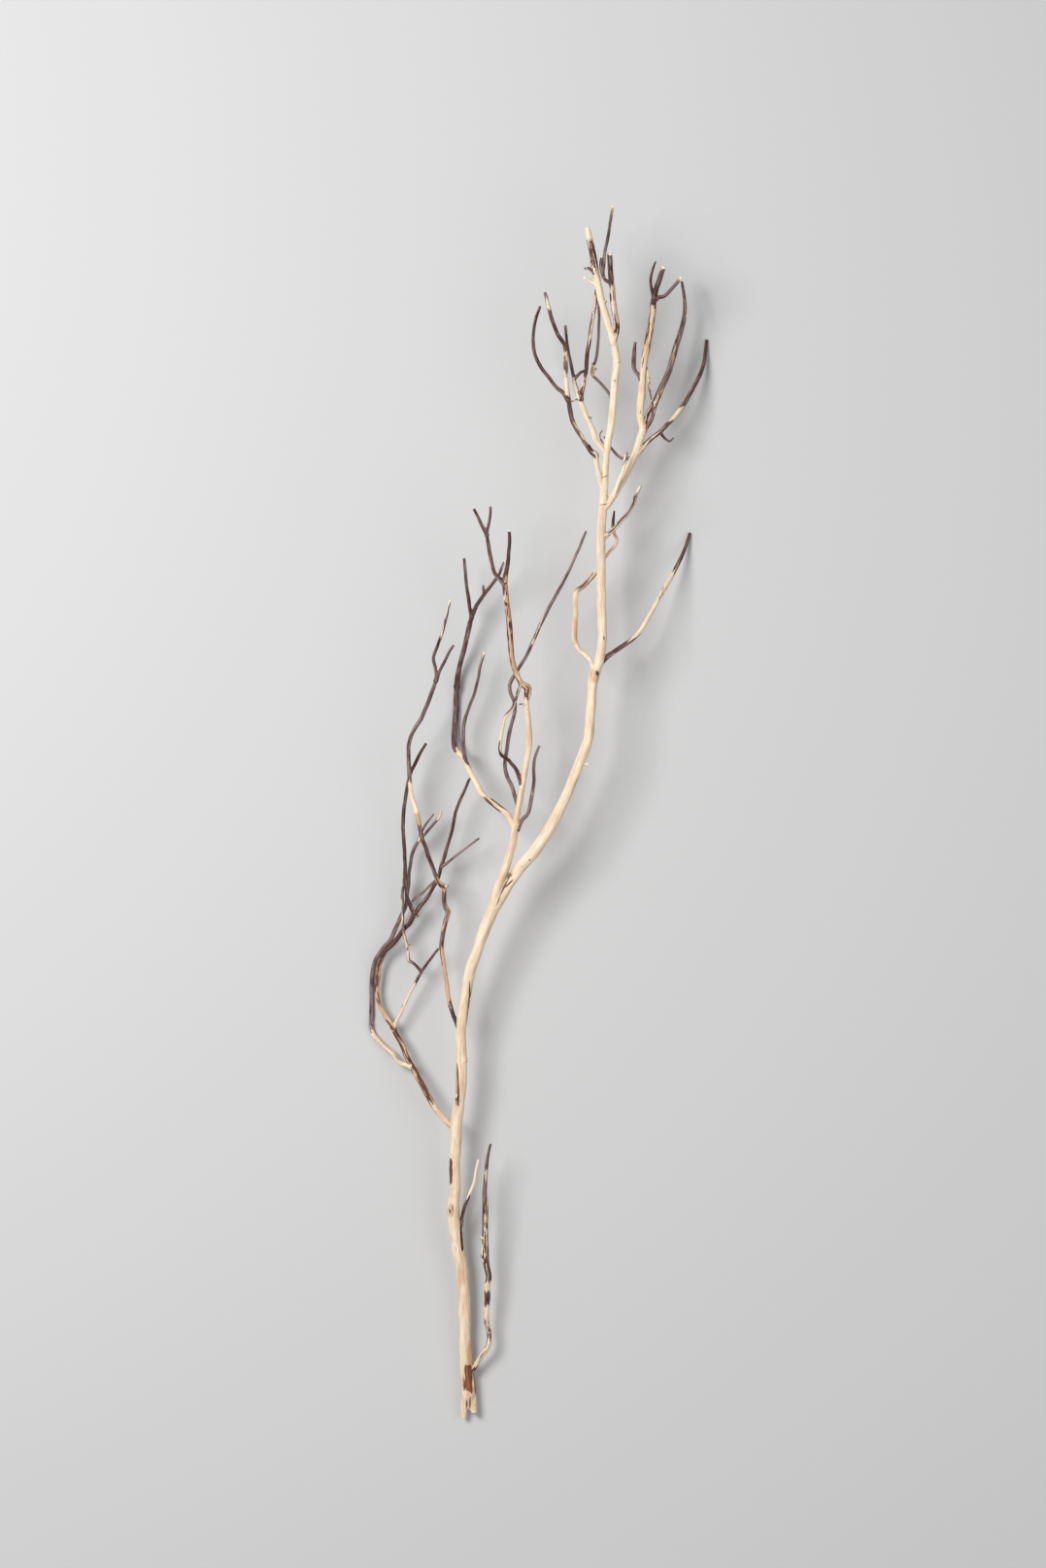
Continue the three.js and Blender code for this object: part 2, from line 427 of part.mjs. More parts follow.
function crownRightLimb(grow) {
  const main = limb([
    [620.6, 524, 58, 4.1], [627.2, 516, 57.8, 3.9], [634.6, 504.7, 57, 3.8], [641.3, 493, 56, 3.7],
    [647.9, 479.8, 55, 3.7], [654.5, 465, 53.8, 3.8], [659.5, 450, 52.5, 4], [662, 441, 52, 4],
  ], grow, false);
  const hookTwig = limb([
    [630, 513.5, 57.5, 2.2], [634, 503, 61.5, 1.9], [637.9, 493, 64.5, 1.7], [642.1, 481.5, 66.5, 1.7],
    [643.7, 471.5, 68, 1.6], [645.4, 465, 69, 1.3],
  ], grow);
  const lowTwig = limb([
    [652.5, 470.5, 54, 2.2], [646, 470.8, 52.5, 1.6], [640, 470.6, 51.5, 1.4], [634.3, 466, 50.5, 1.3],
    [629.8, 461, 50, 1.3], [625.5, 454, 50, 1.3], [622.2, 448.5, 50, 1.1],
  ], grow);
  return fuse([main, hookTwig, lowTwig]);
}

function crownRightInner(grow) {
  const twig = limb([
    [661.2, 444, 52.2, 3.9], [662, 441, 52, 3.9], [659.5, 430, 52, 3.8], [659, 420, 52.5, 3.7],
    [660.6, 406.6, 53.5, 3.8], [661.6, 387.5, 56, 3.7], [663.5, 370, 59, 3.7], [666.4, 353, 62.5, 3.5],
    [669.8, 336, 66.5, 3.4], [672.1, 318.6, 70.5, 3.2], [673.6, 305, 74, 2.8], [675.9, 295.7, 76.5, 2.6],
    [679.8, 284, 79.5, 2.5], [683.2, 274.4, 81.8, 2.2],
  ], grow);
  const innerTip = limb([
    [673.4, 306, 74, 2], [670.5, 296, 77.5, 1.4], [669.6, 286, 80.5, 1.3], [672.1, 276.5, 83, 1.2],
    [674.8, 269.4, 85, 0.9],
  ], grow);
  const outerTip = limb([
    [673.5, 309, 73, 2.2], [678, 306, 73.5, 1.9], [682.6, 305, 74, 1.7], [688.4, 300.4, 74.5, 1.7],
    [696, 291.8, 75.5, 1.7], [701.6, 285, 76.5, 1.5],
  ], grow);
  const bentTwig = limb([
    [661.3, 394, 55.5, 2.1], [658, 386.5, 57, 1.6], [653.4, 379.8, 59, 1.7], [652.6, 372, 61, 2],
    [653, 362.6, 63.5, 1.8], [653.9, 351.6, 66, 1.3],
  ], grow);
  return fuse([twig, innerTip, outerTip, bentTwig]);
}

function crownRightOuter(grow) {
  const twig = limb([
    [672.6, 417, 48.8, 2.6], [676, 410, 47, 2.9], [680.7, 399, 45, 3], [688.4, 382, 41.5, 2.9],
    [694.1, 362.6, 38, 2.8], [699.9, 343.5, 34.5, 2.5], [704.6, 326.3, 31, 2.4], [705.6, 315, 29, 2],
    [704.6, 303, 27, 1.6], [703.1, 292, 25, 1.4], [702.4, 287.6, 24, 1.1],
  ], grow);
  const leftStrand = limb([
    [661, 444, 51.5, 2.8], [664.5, 432, 50.8, 2], [668.8, 421, 49.5, 2], [674.4, 412, 47.8, 2.2],
  ], grow);
  const rightStrand = limb([
    [661.5, 444, 52, 2.8], [669.6, 433, 52, 1.8], [673.4, 422, 50.5, 1.8], [676, 409, 47.6, 2.2],
  ], grow);
  return fuse([twig, leftStrand, rightStrand]);
}

function crownSideTwig(grow) {
  const twig = limb([
    [656, 467, 53.5, 2.9], [661.5, 459.5, 52, 2.4], [669.2, 451.6, 48.5, 2.2], [678.8, 444, 44, 2.2],
    [688.4, 434.4, 39, 2.2], [697.9, 424, 33.5, 2.3], [705.6, 412.4, 27.5, 2.2], [713.2, 399, 20.5, 2.1],
    [720.9, 384.6, 13, 2], [724.7, 374, 8, 1.9], [727, 360.7, 3.2, 1.7], [728.4, 347, 1.1, 1.4],
  ], grow);
  const spur = limb([
    [679.5, 443.5, 43.8, 1.6], [684.5, 449.5, 42, 1.1], [689.3, 453, 42, 1], [693.8, 449.2, 42.5, 0.8],
  ], grow);
  return fuse([twig, spur]);
}

function leaderShortTwig(grow) {
  return limb([
    [619.5, 554.5, 59, 2.9], [625, 549.8, 60, 2.2], [628, 547, 60.8, 2], [633.8, 542, 62.5, 2],
    [639.6, 535.3, 64.5, 1.9], [646.2, 528, 67, 1.9], [651.2, 519.6, 69.5, 1.8], [655.3, 508, 72.5, 1.7],
    [659.3, 499.6, 74.8, 1.4],
  ], grow);
}

function leaderLoopTwig(grow) {
  return limb([
    [612.5, 695, 66, 3.2], [611, 688, 66, 2.8], [609, 681, 66, 2.6], [604.8, 675.5, 65.5, 2.6],
    [597.3, 668.8, 64.5, 2.5], [592.3, 659, 63, 2.6], [591.5, 647, 61, 2.7], [592.3, 630.7, 58, 2.8],
    [592.3, 615.8, 55, 2.7], [594, 607.5, 53, 2.6], [601.5, 601.7, 50.5, 2.5], [608.1, 594, 49, 2.4],
    [614, 586, 48, 2.3], [618.9, 578.5, 47.5, 2], [623.8, 571.8, 47.5, 1.8], [629.6, 565, 48, 1.7],
    [634.6, 558.6, 49, 1.6], [635.4, 554.4, 49.5, 1.5], [633, 548.6, 50, 1.4], [631.3, 542.8, 50.5, 1.3],
    [631.3, 534.5, 51.5, 1.2], [632.5, 525, 52.8, 0.9],
  ], grow);
}

function leaderLongTwig(grow) {
  return limb([
    [617, 682, 65.8, 3.1], [624.7, 675.5, 64, 2.5], [631.3, 670.5, 61.5, 2.3], [642.9, 663, 56.5, 2.2],
    [654.5, 654, 51, 2.2], [664.5, 640.6, 44.5, 2.2], [672.8, 625.7, 37.5, 2.2], [681, 610.8, 30, 2.2],
    [689.3, 596, 22.5, 2.2], [696, 584, 16, 2.1], [701.8, 572.7, 10.5, 1.9], [705.9, 562.7, 6.2, 1.7],
    [709.2, 552.8, 2.8, 1.5], [710.8, 546.6, 1, 1.3],
  ], grow);
}

// From the butt to the crown, so that each limb is cut back from the ones that it grows from.
const LIMBS = [
  ["lower_stem", lowerStem, BARE],
  ["butt_side_twig", buttSideTwig, PATCHY],
  ["right_leader", rightLeader, BARE],
  ["left_leader", leftLeader, BARE],
  ["trailing_twig", trailingTwig, BARK],
  ["outer_left_limb", outerLeftLimb, BARE],
  ["outer_left_tip", outerLeftTip, BARK],
  ["middle_left_limb", middleLeftLimb, PATCHY],
  ["middle_left_tip", middleLeftTip, BARK],
  ["lower_left_limb", lowerLeftLimb, PATCHY],
  ["inner_loop", innerLoop, PATCHY],
  ["outer_loop", outerLoop, PATCHY],
  ["upright_twig", uprightTwig, BARK],
  ["diagonal_twig", diagonalTwig, BARK],
  ["cross_twig", crossTwig, PATCHY],
  ["crown_leader", crownLeader, BARE],
  ["crown_twin_twig", crownTwinTwig, PATCHY],
  ["crown_left_twig", crownLeftTwig, PATCHY],
  ["crown_middle_twig", crownMiddleTwig, BARK],
  ["crown_right_limb", crownRightLimb, BARE],
  ["crown_right_inner", crownRightInner, PATCHY],
  ["crown_right_outer", crownRightOuter, BARK],
  ["crown_side_twig", crownSideTwig, BARK],
  ["leader_short_twig", leaderShortTwig, PATCHY],
  ["leader_loop_twig", leaderLoopTwig, BARE],
  ["leader_long_twig", leaderLongTwig, PATCHY],
];

// The ground wears a small flat on whatever rests on it.
function ground() {
  const slab = new THREE.BoxGeometry(GROUND_SPAN, GROUND_SPAN, GROUND_DEPTH);
  slab.translate(GROUND_SPAN / 4, -GROUND_SPAN / 4, -GROUND_DEPTH / 2);
  return toSolid(slab);
}

function build() {
  const group = new THREE.Group();
  group.name = "fallen_branch";
  const floor = ground();
  let grown = null;
  for (const [name, shape, finish] of LIMBS) {
    const cleared = grown ? shape(0).subtract(grown) : shape(0);
    const solid = mainBody(cleared.subtract(floor));
    const wider = shape(GAP);
    grown = grown ? grown.add(wider) : wider;
    const mesh = new THREE.Mesh(toGeometry(solid), new THREE.MeshStandardMaterial(finish));
    mesh.name = name;
    group.add(mesh);
  }
  const box = new THREE.Box3().setFromObject(group);
  const centre = box.getCenter(new THREE.Vector3());
  for (const mesh of group.children) {
    mesh.geometry.translate(-centre.x, -centre.y, -box.min.z);
  }
  return group;
}

export default build();
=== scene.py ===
"""A fallen tree branch, dressed around its solids: bare dry wood, worn thin bark and shreds of bark."""

import json
import math

import bmesh
import bpy
import numpy as np
from mathutils import Matrix, Vector, noise

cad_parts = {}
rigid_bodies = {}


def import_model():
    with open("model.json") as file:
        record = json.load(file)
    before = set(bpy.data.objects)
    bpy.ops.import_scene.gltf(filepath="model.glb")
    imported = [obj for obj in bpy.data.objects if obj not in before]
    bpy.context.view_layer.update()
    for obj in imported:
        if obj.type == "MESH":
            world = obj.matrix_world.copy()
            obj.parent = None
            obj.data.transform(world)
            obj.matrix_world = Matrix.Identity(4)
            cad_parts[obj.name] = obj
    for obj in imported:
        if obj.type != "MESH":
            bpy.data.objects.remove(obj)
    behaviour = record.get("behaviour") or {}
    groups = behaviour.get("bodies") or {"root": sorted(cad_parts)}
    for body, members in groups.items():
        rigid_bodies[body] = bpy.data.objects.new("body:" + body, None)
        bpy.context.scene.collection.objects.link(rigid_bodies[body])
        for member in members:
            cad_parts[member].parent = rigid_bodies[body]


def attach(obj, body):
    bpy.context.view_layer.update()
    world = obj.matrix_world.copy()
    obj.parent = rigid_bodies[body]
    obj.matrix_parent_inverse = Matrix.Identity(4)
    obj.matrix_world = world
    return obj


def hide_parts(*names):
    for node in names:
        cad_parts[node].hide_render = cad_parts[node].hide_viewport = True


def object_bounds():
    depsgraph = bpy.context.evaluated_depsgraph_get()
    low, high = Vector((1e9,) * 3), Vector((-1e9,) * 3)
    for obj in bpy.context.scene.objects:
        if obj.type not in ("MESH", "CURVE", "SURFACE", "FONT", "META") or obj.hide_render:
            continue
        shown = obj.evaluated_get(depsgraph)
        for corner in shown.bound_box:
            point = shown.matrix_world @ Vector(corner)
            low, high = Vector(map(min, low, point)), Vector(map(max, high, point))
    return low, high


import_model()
CAD_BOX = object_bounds()

bl_info = {
    "name": "Fallen Branch",
    "version": (1, 0, 0),
    "blender": (4, 5, 0),
    "location": "3D View > Sidebar > Branch",
    "description": "Builds a dry fallen branch with worn bark around its solids",
    "category": "Add Mesh",
}

MM = 0.001
CENTRE_ACROSS = 554.394  # the branch's middle, in the measure that the limbs are listed in
CENTRE_DOWN = 837.412

# Camera and light. The camera looks down on a field this wide and high, in millimetres.
VIEW_WIDTH = 1077
VIEW_HEIGHT = 1615
AIM_RISE = 1.2  # the low butt and the high crown both look shifted towards the crown by this much
TRUE_SCALE_AT = 0.055  # metres above the ground where the field has that size
SENSOR = 36.0
KEY_PLACE = (-1.7, 0.9, 2.6)
KEY_SIZE = 1.6
FILL_PLACE = (2.0, -0.6, 2.2)
FILL_SIZE = 2.2
FLOOR_GAP = 0.0002  # metres that keep the floor clear of the lowest point

# Limbs, in millimetres.
SAMPLE = 1.0  # between two samples of a limb's centreline
RING_EVERY = 3  # samples between two rings of a limb
RING_SIDES = 14
FLARE_LENGTH = 4.5  # in which a twig's wider root mostly dies away
FLARE_BELOW = 3.2  # a main limb as thick as this at its root isn't widened there
STEADY_END = 9  # length at each end in which a limb wavers less
WAVER = 0.35
WAVER_SEED = 1  # without a seed the vector noise is another one in each run
THICKENING = 0.06  # as a share of the radius
TIP_TILT = 0.35  # radians by which a broken tip slants at most
DOME_WIDTH = 0.55  # of a broken tip, as a share of the radius
DOME_HEIGHT = 0.4
SHRED_SIDES = 10
SHRED_TILT = 0.6
BLANK = "blank_"  # begins the names of the rough limbs

# Surface, in millimetres. A grain scale is (across, across, along) a limb.
REACH = 5.0  # how far from a limb its neighbours still count
FAR = 1e6
MOST_PAIRS = 6_000_000  # points times samples that are measured at a time
CUT_DEPTH = 0.9  # of the closed cut between two pieces
BOX_MARGIN = 0.02
GRAIN_SCALE = 0.1  # of the grain that the materials read
STREAK_GRAIN = (0.62, 0.62, 0.034)
CRUMB_GRAIN = (1.5, 1.5, 0.13)
FIBRE_GRAIN = (1.5, 1.5, 0.05)
RIDGE_GRAIN = (0.7, 0.7, 0.03)
ROUGH_GRAIN = (0.9, 0.9, 0.45)
RAGGEDNESS = 0.44  # of the edges of half covered stretches
EDGE_CONTRAST = 1.15
RUBBED_TOP_SHADED_SIDES = 0.16  # how far bark is worn off the top of a limb and kept on its sides and below, partly real wear and partly painted shade on the sides
RUSTY_FROM = 1380  # patches further down than this are rusty inner bark

# Materials.
PORE_COLOUR = (0.42, 0.3, 0.22)
LIP_STAIN = (0.62, 0.5, 0.42)
BARK_GLOSS = 0.14  # by which bark is less rough than wood
RELIEF = 0.0004  # metres that a full height stands for

# Limbs as (across, down, height, radius) in millimetres, root first. Across and down are measured over the
# lying branch from a corner beyond its crown, height from the ground.
LIMBS = {
    "lower_stem": {
        "main": (
            (482.4, 1448, 8, 4.2), (482.5, 1444, 7.7, 6.5), (482.5, 1439, 7.5, 7.5), (482, 1427, 7.6, 7.7),
            (480.2, 1408, 8.6, 6.5), (478.5, 1376, 11, 6.1), (477.8, 1350, 13.5, 6.5),
            (477.8, 1331, 15.5, 6.2), (475.1, 1305, 18, 5.8), (472, 1290, 19.5, 6.2),
            (469.5, 1272, 21.5, 6.4), (466.8, 1248, 24, 6.4), (468.1, 1230, 25.5, 5.6),
            (468.5, 1206, 28, 5.5), (469, 1181, 30.5, 5.7), (469.8, 1157, 33, 5.9), (473, 1133, 35, 5.6),
            (474.8, 1115, 36.5, 5.8), (475.1, 1093, 38.5, 5.5), (474.8, 1075, 40, 5.1),
            (474.8, 1057, 41.5, 5.2), (476.7, 1039, 43.5, 5.6), (479.7, 1021, 45.5, 5.6),
            (482.8, 1005, 47.5, 5.6), (488.2, 987, 49.5, 5.7), (494.3, 969, 52, 5.9), (500.4, 953, 54, 6),
            (508, 935, 56, 6.3)),
        "left_prong": (
            (479.6, 1430, 7.4, 2.8), (478.6, 1442, 7.2, 3.6), (477.9, 1452, 7, 3.5),
            (477.6, 1461.5, 6.6, 2.2)),
        "right_prong": (
            (485, 1430, 8.2, 2.8), (486.2, 1440, 8.5, 4.1), (486.8, 1448, 8.8, 4.3), (488.1, 1456, 9.3, 3)),
        "splinter": (
            (482.2, 1430, 8, 3), (482.2, 1442, 8.6, 4.6), (481.9, 1449, 8.2, 3.4), (481.6, 1453.5, 7.8, 1.4)),
        "left_knob": ((467, 1249, 24, 4.6), (462.4, 1247, 24.5, 2.8)),
        "right_knob": ((476, 1091, 38.5, 4), (480.6, 1090, 39, 2.6)),
        "pale_twig": (
            (470.5, 1270, 22, 2.3), (474.5, 1262, 24.5, 1.8), (475.5, 1254, 26.5, 1.6),
            (478.6, 1241.6, 29, 1.6), (483.7, 1229, 31.5, 1.6), (488.3, 1217, 34, 1.5),
            (489.8, 1206, 36, 1.4), (492.5, 1194, 38, 1.2)),
    },
    "butt_side_twig": {
        "main": (
            (481, 1418, 9.5, 3), (486, 1412, 10.5, 2.7), (489.1, 1407.6, 11.5, 2.4),
            (494.8, 1398.6, 13.5, 2.4), (501.2, 1389.7, 15.5, 2.5), (503.8, 1381, 17, 2.5),
            (503.1, 1372, 18, 2.5), (501, 1361.6, 19.3, 2.5), (501, 1351, 20.5, 2.6),
            (501.6, 1337, 22.2, 2.8), (501.9, 1326, 23.5, 2.9), (503.1, 1316, 24.7, 3),
            (501, 1303, 26.3, 3.3), (500, 1287.6, 28, 3.2), (499.5, 1272, 30, 3.1), (499.5, 1257, 31.8, 3),
            (499.5, 1241.6, 33.5, 2.9), (499, 1226, 35.3, 2.3), (500, 1213, 37, 1.9), (501, 1199, 39, 1.7),
            (503.1, 1186.5, 41, 1.4), (505.1, 1177.5, 42.5, 1)),
        "spur": ((498.5, 1275.5, 29.6, 1.7), (494.2, 1273.9, 30.5, 1)),
    },
    "right_leader": {
        "main": (
            (502, 949, 54.5, 5.9), (508, 935, 56, 6.1), (515.7, 923, 57.5, 5.6), (525, 907, 59.5, 5.6),
            (537, 890.5, 61, 5.8), (549.5, 876.7, 62.5, 6), (561.4, 859.6, 64, 6), (573, 839, 65.5, 5.5),
            (583, 818.6, 66.5, 5.3), (591.8, 797, 67.5, 5.2), (598, 781, 68, 5.2), (604.6, 763, 68, 5.1),
            (607, 747, 67.5, 5.1), (608.2, 729, 67, 4.9), (609.3, 711, 66.5, 4.8), (611.4, 695, 66, 5.6),
            (616.8, 681, 65.5, 5), (619.2, 667, 65, 4.7), (619.8, 649, 64, 4.6), (619.2, 622, 62.5, 4.6),
            (618.9, 597, 61, 4.6), (618.9, 573, 60, 4.6), (619, 553, 59, 4.5), (620, 533, 58.3, 4.4),
            (621, 518, 58, 4.7)),
        "stub": ((598, 783, 68, 2.6), (602, 785.2, 68.5, 1.8), (605.5, 786.2, 69, 1.5)),
    },
    "left_leader": {
        "main": (
            (504, 942, 56, 4.4), (508, 929, 57.5, 4.7), (512.7, 913.5, 59.5, 4.6), (518.8, 898, 62, 4.4),
            (523.4, 883, 64.5, 4.2), (528, 867.6, 67, 4), (530.3, 852, 69, 3.6), (532.4, 837.4, 71, 3.1),
            (537.1, 812.5, 74, 3), (541, 789.6, 77, 3.1), (544.8, 763, 80, 3.2), (544.2, 743.7, 83, 3),
            (541.9, 722.6, 86, 3), (543, 708, 88, 3.6), (536.4, 702.3, 89.5, 2.7), (531.4, 692.3, 91, 2.7),
            (527.3, 679, 93, 2.7), (525.6, 659, 96, 2.7), (523.9, 636, 99, 2.7), (520.6, 612.8, 102.5, 2.7),
            (519.8, 597.5, 105, 2.6), (522.3, 583, 107.5, 2), (523.9, 569.6, 110, 1.8),
            (524.8, 556, 112.5, 1.7), (524.3, 545.8, 114, 1.5)),
        "bypass": (
            (537.5, 807, 74.5, 2.2), (531.4, 791.5, 78, 1.9), (523.8, 782, 81, 1.8), (516.1, 776, 83, 1.8),
            (515.1, 766.6, 84.5, 1.8), (517.1, 751.3, 86.5, 1.8), (519.9, 738, 88, 1.7),
            (527.6, 728.4, 89.5, 1.7), (531.4, 717, 90.3, 1.6), (536, 704, 89.5, 1.7)),
        "grey_twig": (
            (532, 854, 69, 2.4), (538, 843, 67.5, 2), (542.9, 837.4, 66, 1.9), (546.7, 824, 63, 1.8),
            (549.6, 805, 59, 1.7), (549.6, 789.6, 56, 1.6), (550.5, 780, 54, 1.5), (555.3, 767, 51, 1.1)),
        "end_twig": (
            (519.9, 601, 104.5, 2.3), (514, 595.3, 105, 2), (509.8, 590.4, 105.5, 1.9),
            (506.5, 579.6, 106.5, 1.8), (504, 566.3, 108, 1.8), (501.6, 549.7, 110, 1.8),
            (503.2, 539.8, 112, 1.5), (504.9, 529.8, 114, 1.4), (505.2, 522, 115.5, 1.2)),
        "end_fork": ((502, 552, 109.8, 1.8), (494.9, 538, 112, 1.6), (488.3, 524.5, 114, 1.3)),
    },
    "trailing_twig": {
        "main": (
            (534, 830, 72, 2.2), (527.6, 810.6, 70, 1.9), (521.8, 797, 69, 1.9), (519.9, 785.8, 69, 1.8),
            (521.8, 770.5, 70, 1.8), (524.7, 753, 72, 1.8), (528.5, 738, 73.5, 1.8), (530.4, 724.5, 75, 1.8),
            (525.7, 713, 76.5, 1.8), (524.7, 705.4, 77.5, 1.8), (527.6, 698, 78.5, 1.8),
            (533.1, 689, 79.5, 1.7), (541.4, 675.8, 80.5, 1.7), (551.3, 654, 82.5, 1.7),
            (561.3, 632.7, 85, 1.7), (571.2, 614.4, 87.5, 1.6), (582.8, 593, 90.5, 1.5),
            (595.2, 566.3, 95, 1.4), (603.2, 546.8, 98, 1.2)),
    },
    "outer_left_limb": {
        "main": (
            (530.5, 853, 69, 3.4), (521.8, 837.4, 63, 3), (512.3, 829.8, 57.5, 2.9), (502.7, 822, 51.5, 2.9),
            (496, 816.4, 46.5, 2.9), (489.3, 803, 39, 2.9), (481.7, 789.6, 31, 2.9), (475.9, 778, 23.5, 2.9),
            (470.2, 772.4, 18.5, 2.9), (467.7, 764.7, 12.5, 2.9), (467.7, 755, 7, 2.9),
            (468.3, 743.7, 3.4, 2.9), (469.2, 730, 2.4, 2.9), (469.2, 722.6, 2.7, 2.8),
            (470.2, 703.5, 6, 2.6)),
        "inner_twig": (
            (482.5, 791, 31, 2.3), (479.3, 781, 28.5, 1.9), (477.8, 774, 27.5, 1.8), (476.9, 761, 27, 1.7),
            (477.8, 743.7, 27, 1.7), (481.7, 730, 28, 1.6), (488.4, 713, 30, 1.6), (492.2, 698, 32, 1.5),
            (495, 682.4, 35, 1.4), (498.8, 670.5, 38, 1.2)),
    },
    "outer_left_tip": {
        "main": (
            (470, 707, 5.4, 2.6), (470.2, 703.5, 6, 2.6), (473, 684.4, 11, 2.5), (477.8, 667, 16.5, 2.4),
            (481.7, 650, 22, 2.4), (485.5, 634.6, 27, 2.3), (491.2, 621, 31.5, 2), (498.2, 611, 35, 1.8),
            (506.5, 600.5, 39, 1.7), (513.2, 591, 43, 1.5), (519.8, 576, 49, 1.3)),
        "side_twig": (
            (485.5, 636, 26.5, 1.9), (482.6, 617, 32, 1.7), (480.1, 598, 38, 1.6), (477.8, 573.8, 46, 1.3)),
        "spur": ((498.4, 612, 34.8, 1.4), (497.5, 601.5, 38, 0.9)),
    },
    "middle_left_limb": {
        "main": (
            (475, 1063, 41, 2.6), (470, 1053, 42, 2.1), (466.7, 1045, 42, 2), (462.1, 1028, 41.5, 2.1),
            (459.1, 1008, 40.5, 2.1), (456.8, 993, 40, 2.2), (454.5, 974.7, 39.5, 2.4), (456, 960, 39.5, 2.2),
            (459.3, 946, 39.5, 2.2), (461.2, 938.4, 39.5, 2.4), (458.7, 933, 39.5, 2.3),
            (457.4, 927, 39.5, 2.1), (457.4, 917, 39, 2.1), (457.4, 912.3, 39, 2.6), (454.2, 910.4, 39, 2.4),
            (451, 907, 38.5, 2.2), (447.8, 899.5, 38, 2), (445.3, 892, 38, 2), (441.5, 882, 37.5, 2),
            (438.3, 872.8, 37.5, 2), (434.4, 862, 37.5, 2.1), (431, 845, 38, 2.1), (428.2, 832.6, 39, 2.2)),
        "spur": ((457.5, 912.8, 39, 1.8), (461.4, 911, 40, 1.1)),
    },
    "middle_left_tip": {
        "main": (
            (428.8, 836, 38.8, 2.2), (428.2, 832.6, 39, 2.2), (424, 818.6, 40.5, 2.2),
            (421.9, 804.5, 42, 2.1), (421.2, 792, 44, 2.1), (420.5, 776.5, 46.5, 2), (421.2, 764, 49, 2),
            (426.1, 751, 51.5, 2), (433, 740, 54, 2), (437.7, 730, 56.5, 1.9), (444.3, 713, 60.5, 1.9),
            (449.1, 698, 64, 1.8), (448.2, 686, 67, 1.6), (446.3, 676.7, 69.5, 1.5), (451, 663, 73, 1.5),
            (455.8, 650, 76.5, 1.4), (459.7, 634.6, 80, 1.3), (464, 617, 84.5, 1.2)),
        "fork": (
            (448.5, 701, 63.5, 1.9), (453, 690, 65.5, 1.5), (458.7, 678.6, 67.5, 1.5),
            (463.5, 669, 69.5, 1.4), (467, 663.8, 71, 1.2)),
    },
    "lower_left_limb": {
        "main": (
            (470.5, 1164, 32.5, 3.3), (466, 1160, 32, 3.1), (463.2, 1157.7, 31.3, 3),
            (456.5, 1151, 29.8, 2.9), (449.9, 1142.8, 28, 2.9), (443.3, 1133, 26, 2.9),
            (436.6, 1121, 23.8, 2.9), (433.1, 1114.7, 22.6, 2.9), (426.1, 1102, 20.3, 2.8),
            (419.1, 1089, 18, 2.7), (413.5, 1075, 15.8, 2.6), (407.9, 1065.6, 14.3, 2.6),
            (403.7, 1056, 13, 2.6)),
    },
    "inner_loop": {
        "main": (
            (405.3, 1059.6, 13.5, 2.6), (403.7, 1056, 13, 2.6), (396.7, 1046, 11.5, 2.5),
            (391, 1036, 10.5, 2.4), (388.2, 1026, 10, 2.4), (387.5, 1015, 10, 2.4), (388.5, 1005, 10.5, 2.4),
            (390.3, 992.4, 11.5, 2.3), (392.7, 985, 12.5, 2.3), (395.6, 979.5, 13.5, 2.3),
            (401.8, 973.7, 15, 2.2), (407.5, 967.5, 16.5, 2.2), (411.4, 962, 17.5, 2.2),
            (416.6, 955, 19, 2.2), (420.9, 951, 20, 2.2), (426.2, 941, 22, 2.3)),
        "spur": ((425.6, 942.3, 21.8, 1.7), (430.4, 942.6, 22.6, 1.1)),
    },
    "outer_loop": {
        "main": (
            (423.8, 1098, 19.5, 2.6), (418, 1096.5, 17, 2.4), (410.7, 1093.6, 13.5, 2.3),
            (403.7, 1085, 10, 2.3), (395.3, 1078, 7, 2.3), (388.2, 1071, 4.8, 2.3), (383.3, 1064, 3, 2.3),
            (381.2, 1055.7, 2, 2.3), (381.9, 1043, 1.8, 2.2), (381.9, 1026, 2, 2.2),
            (382.2, 1009.6, 3.2, 2.2), (384.1, 995, 4.6, 2.2), (387.4, 986.7, 5.6, 2.2),
            (391.7, 979.5, 6.6, 2.1), (396.5, 973, 7.6, 2.1), (401.8, 967.5, 8.6, 2.1), (406, 957.5, 10, 2.1),
            (411.5, 945, 12, 2), (417.2, 933, 14, 1.9), (419.1, 917, 16, 1.8), (420.4, 908, 17, 1.8),
            (421, 898, 18, 1.8), (422.3, 888.7, 19, 1.7), (423.9, 879, 20, 1.7), (426.8, 871.5, 20.5, 1.7),
            (431.3, 864, 21, 1.6), (438.8, 856.5, 22, 1.5), (445.8, 848, 23, 1.4), (452.8, 839.6, 24.5, 1.2),
            (454.2, 834.3, 25.5, 1.1)),
        "side_tip": (
            (430.5, 865.5, 21, 1.6), (435, 853, 23, 1.2), (440.2, 845, 25, 1.1), (446.3, 837, 27, 1)),
    },
    "upright_twig": {
        "main": (
            (426.6, 942, 22, 2), (425.5, 939, 22.3, 1.9), (421.7, 931, 23.5, 1.9), (419, 924, 24.5, 1.9),
            (418, 914, 25.5, 1.9), (417, 904, 26.3, 1.9), (416.9, 892, 27, 1.9), (416.3, 879, 27.8, 1.8),
            (415.3, 860, 29, 1.8), (414.9, 846.6, 29.5, 1.8), (416.3, 827, 30, 1.8), (420, 805, 30.5, 1.8),
            (423.3, 793, 31.5, 1.7), (428.2, 783.5, 32.5, 1.6), (433.1, 773.7, 34, 1.5),
            (438.6, 764.5, 36, 1.3)),
    },
    "diagonal_twig": {
        "main": (
            (425.4, 942.5, 21.8, 2), (431.9, 933, 23, 1.9), (437, 927, 23.8, 1.9), (441.5, 920.6, 24.5, 1.9),
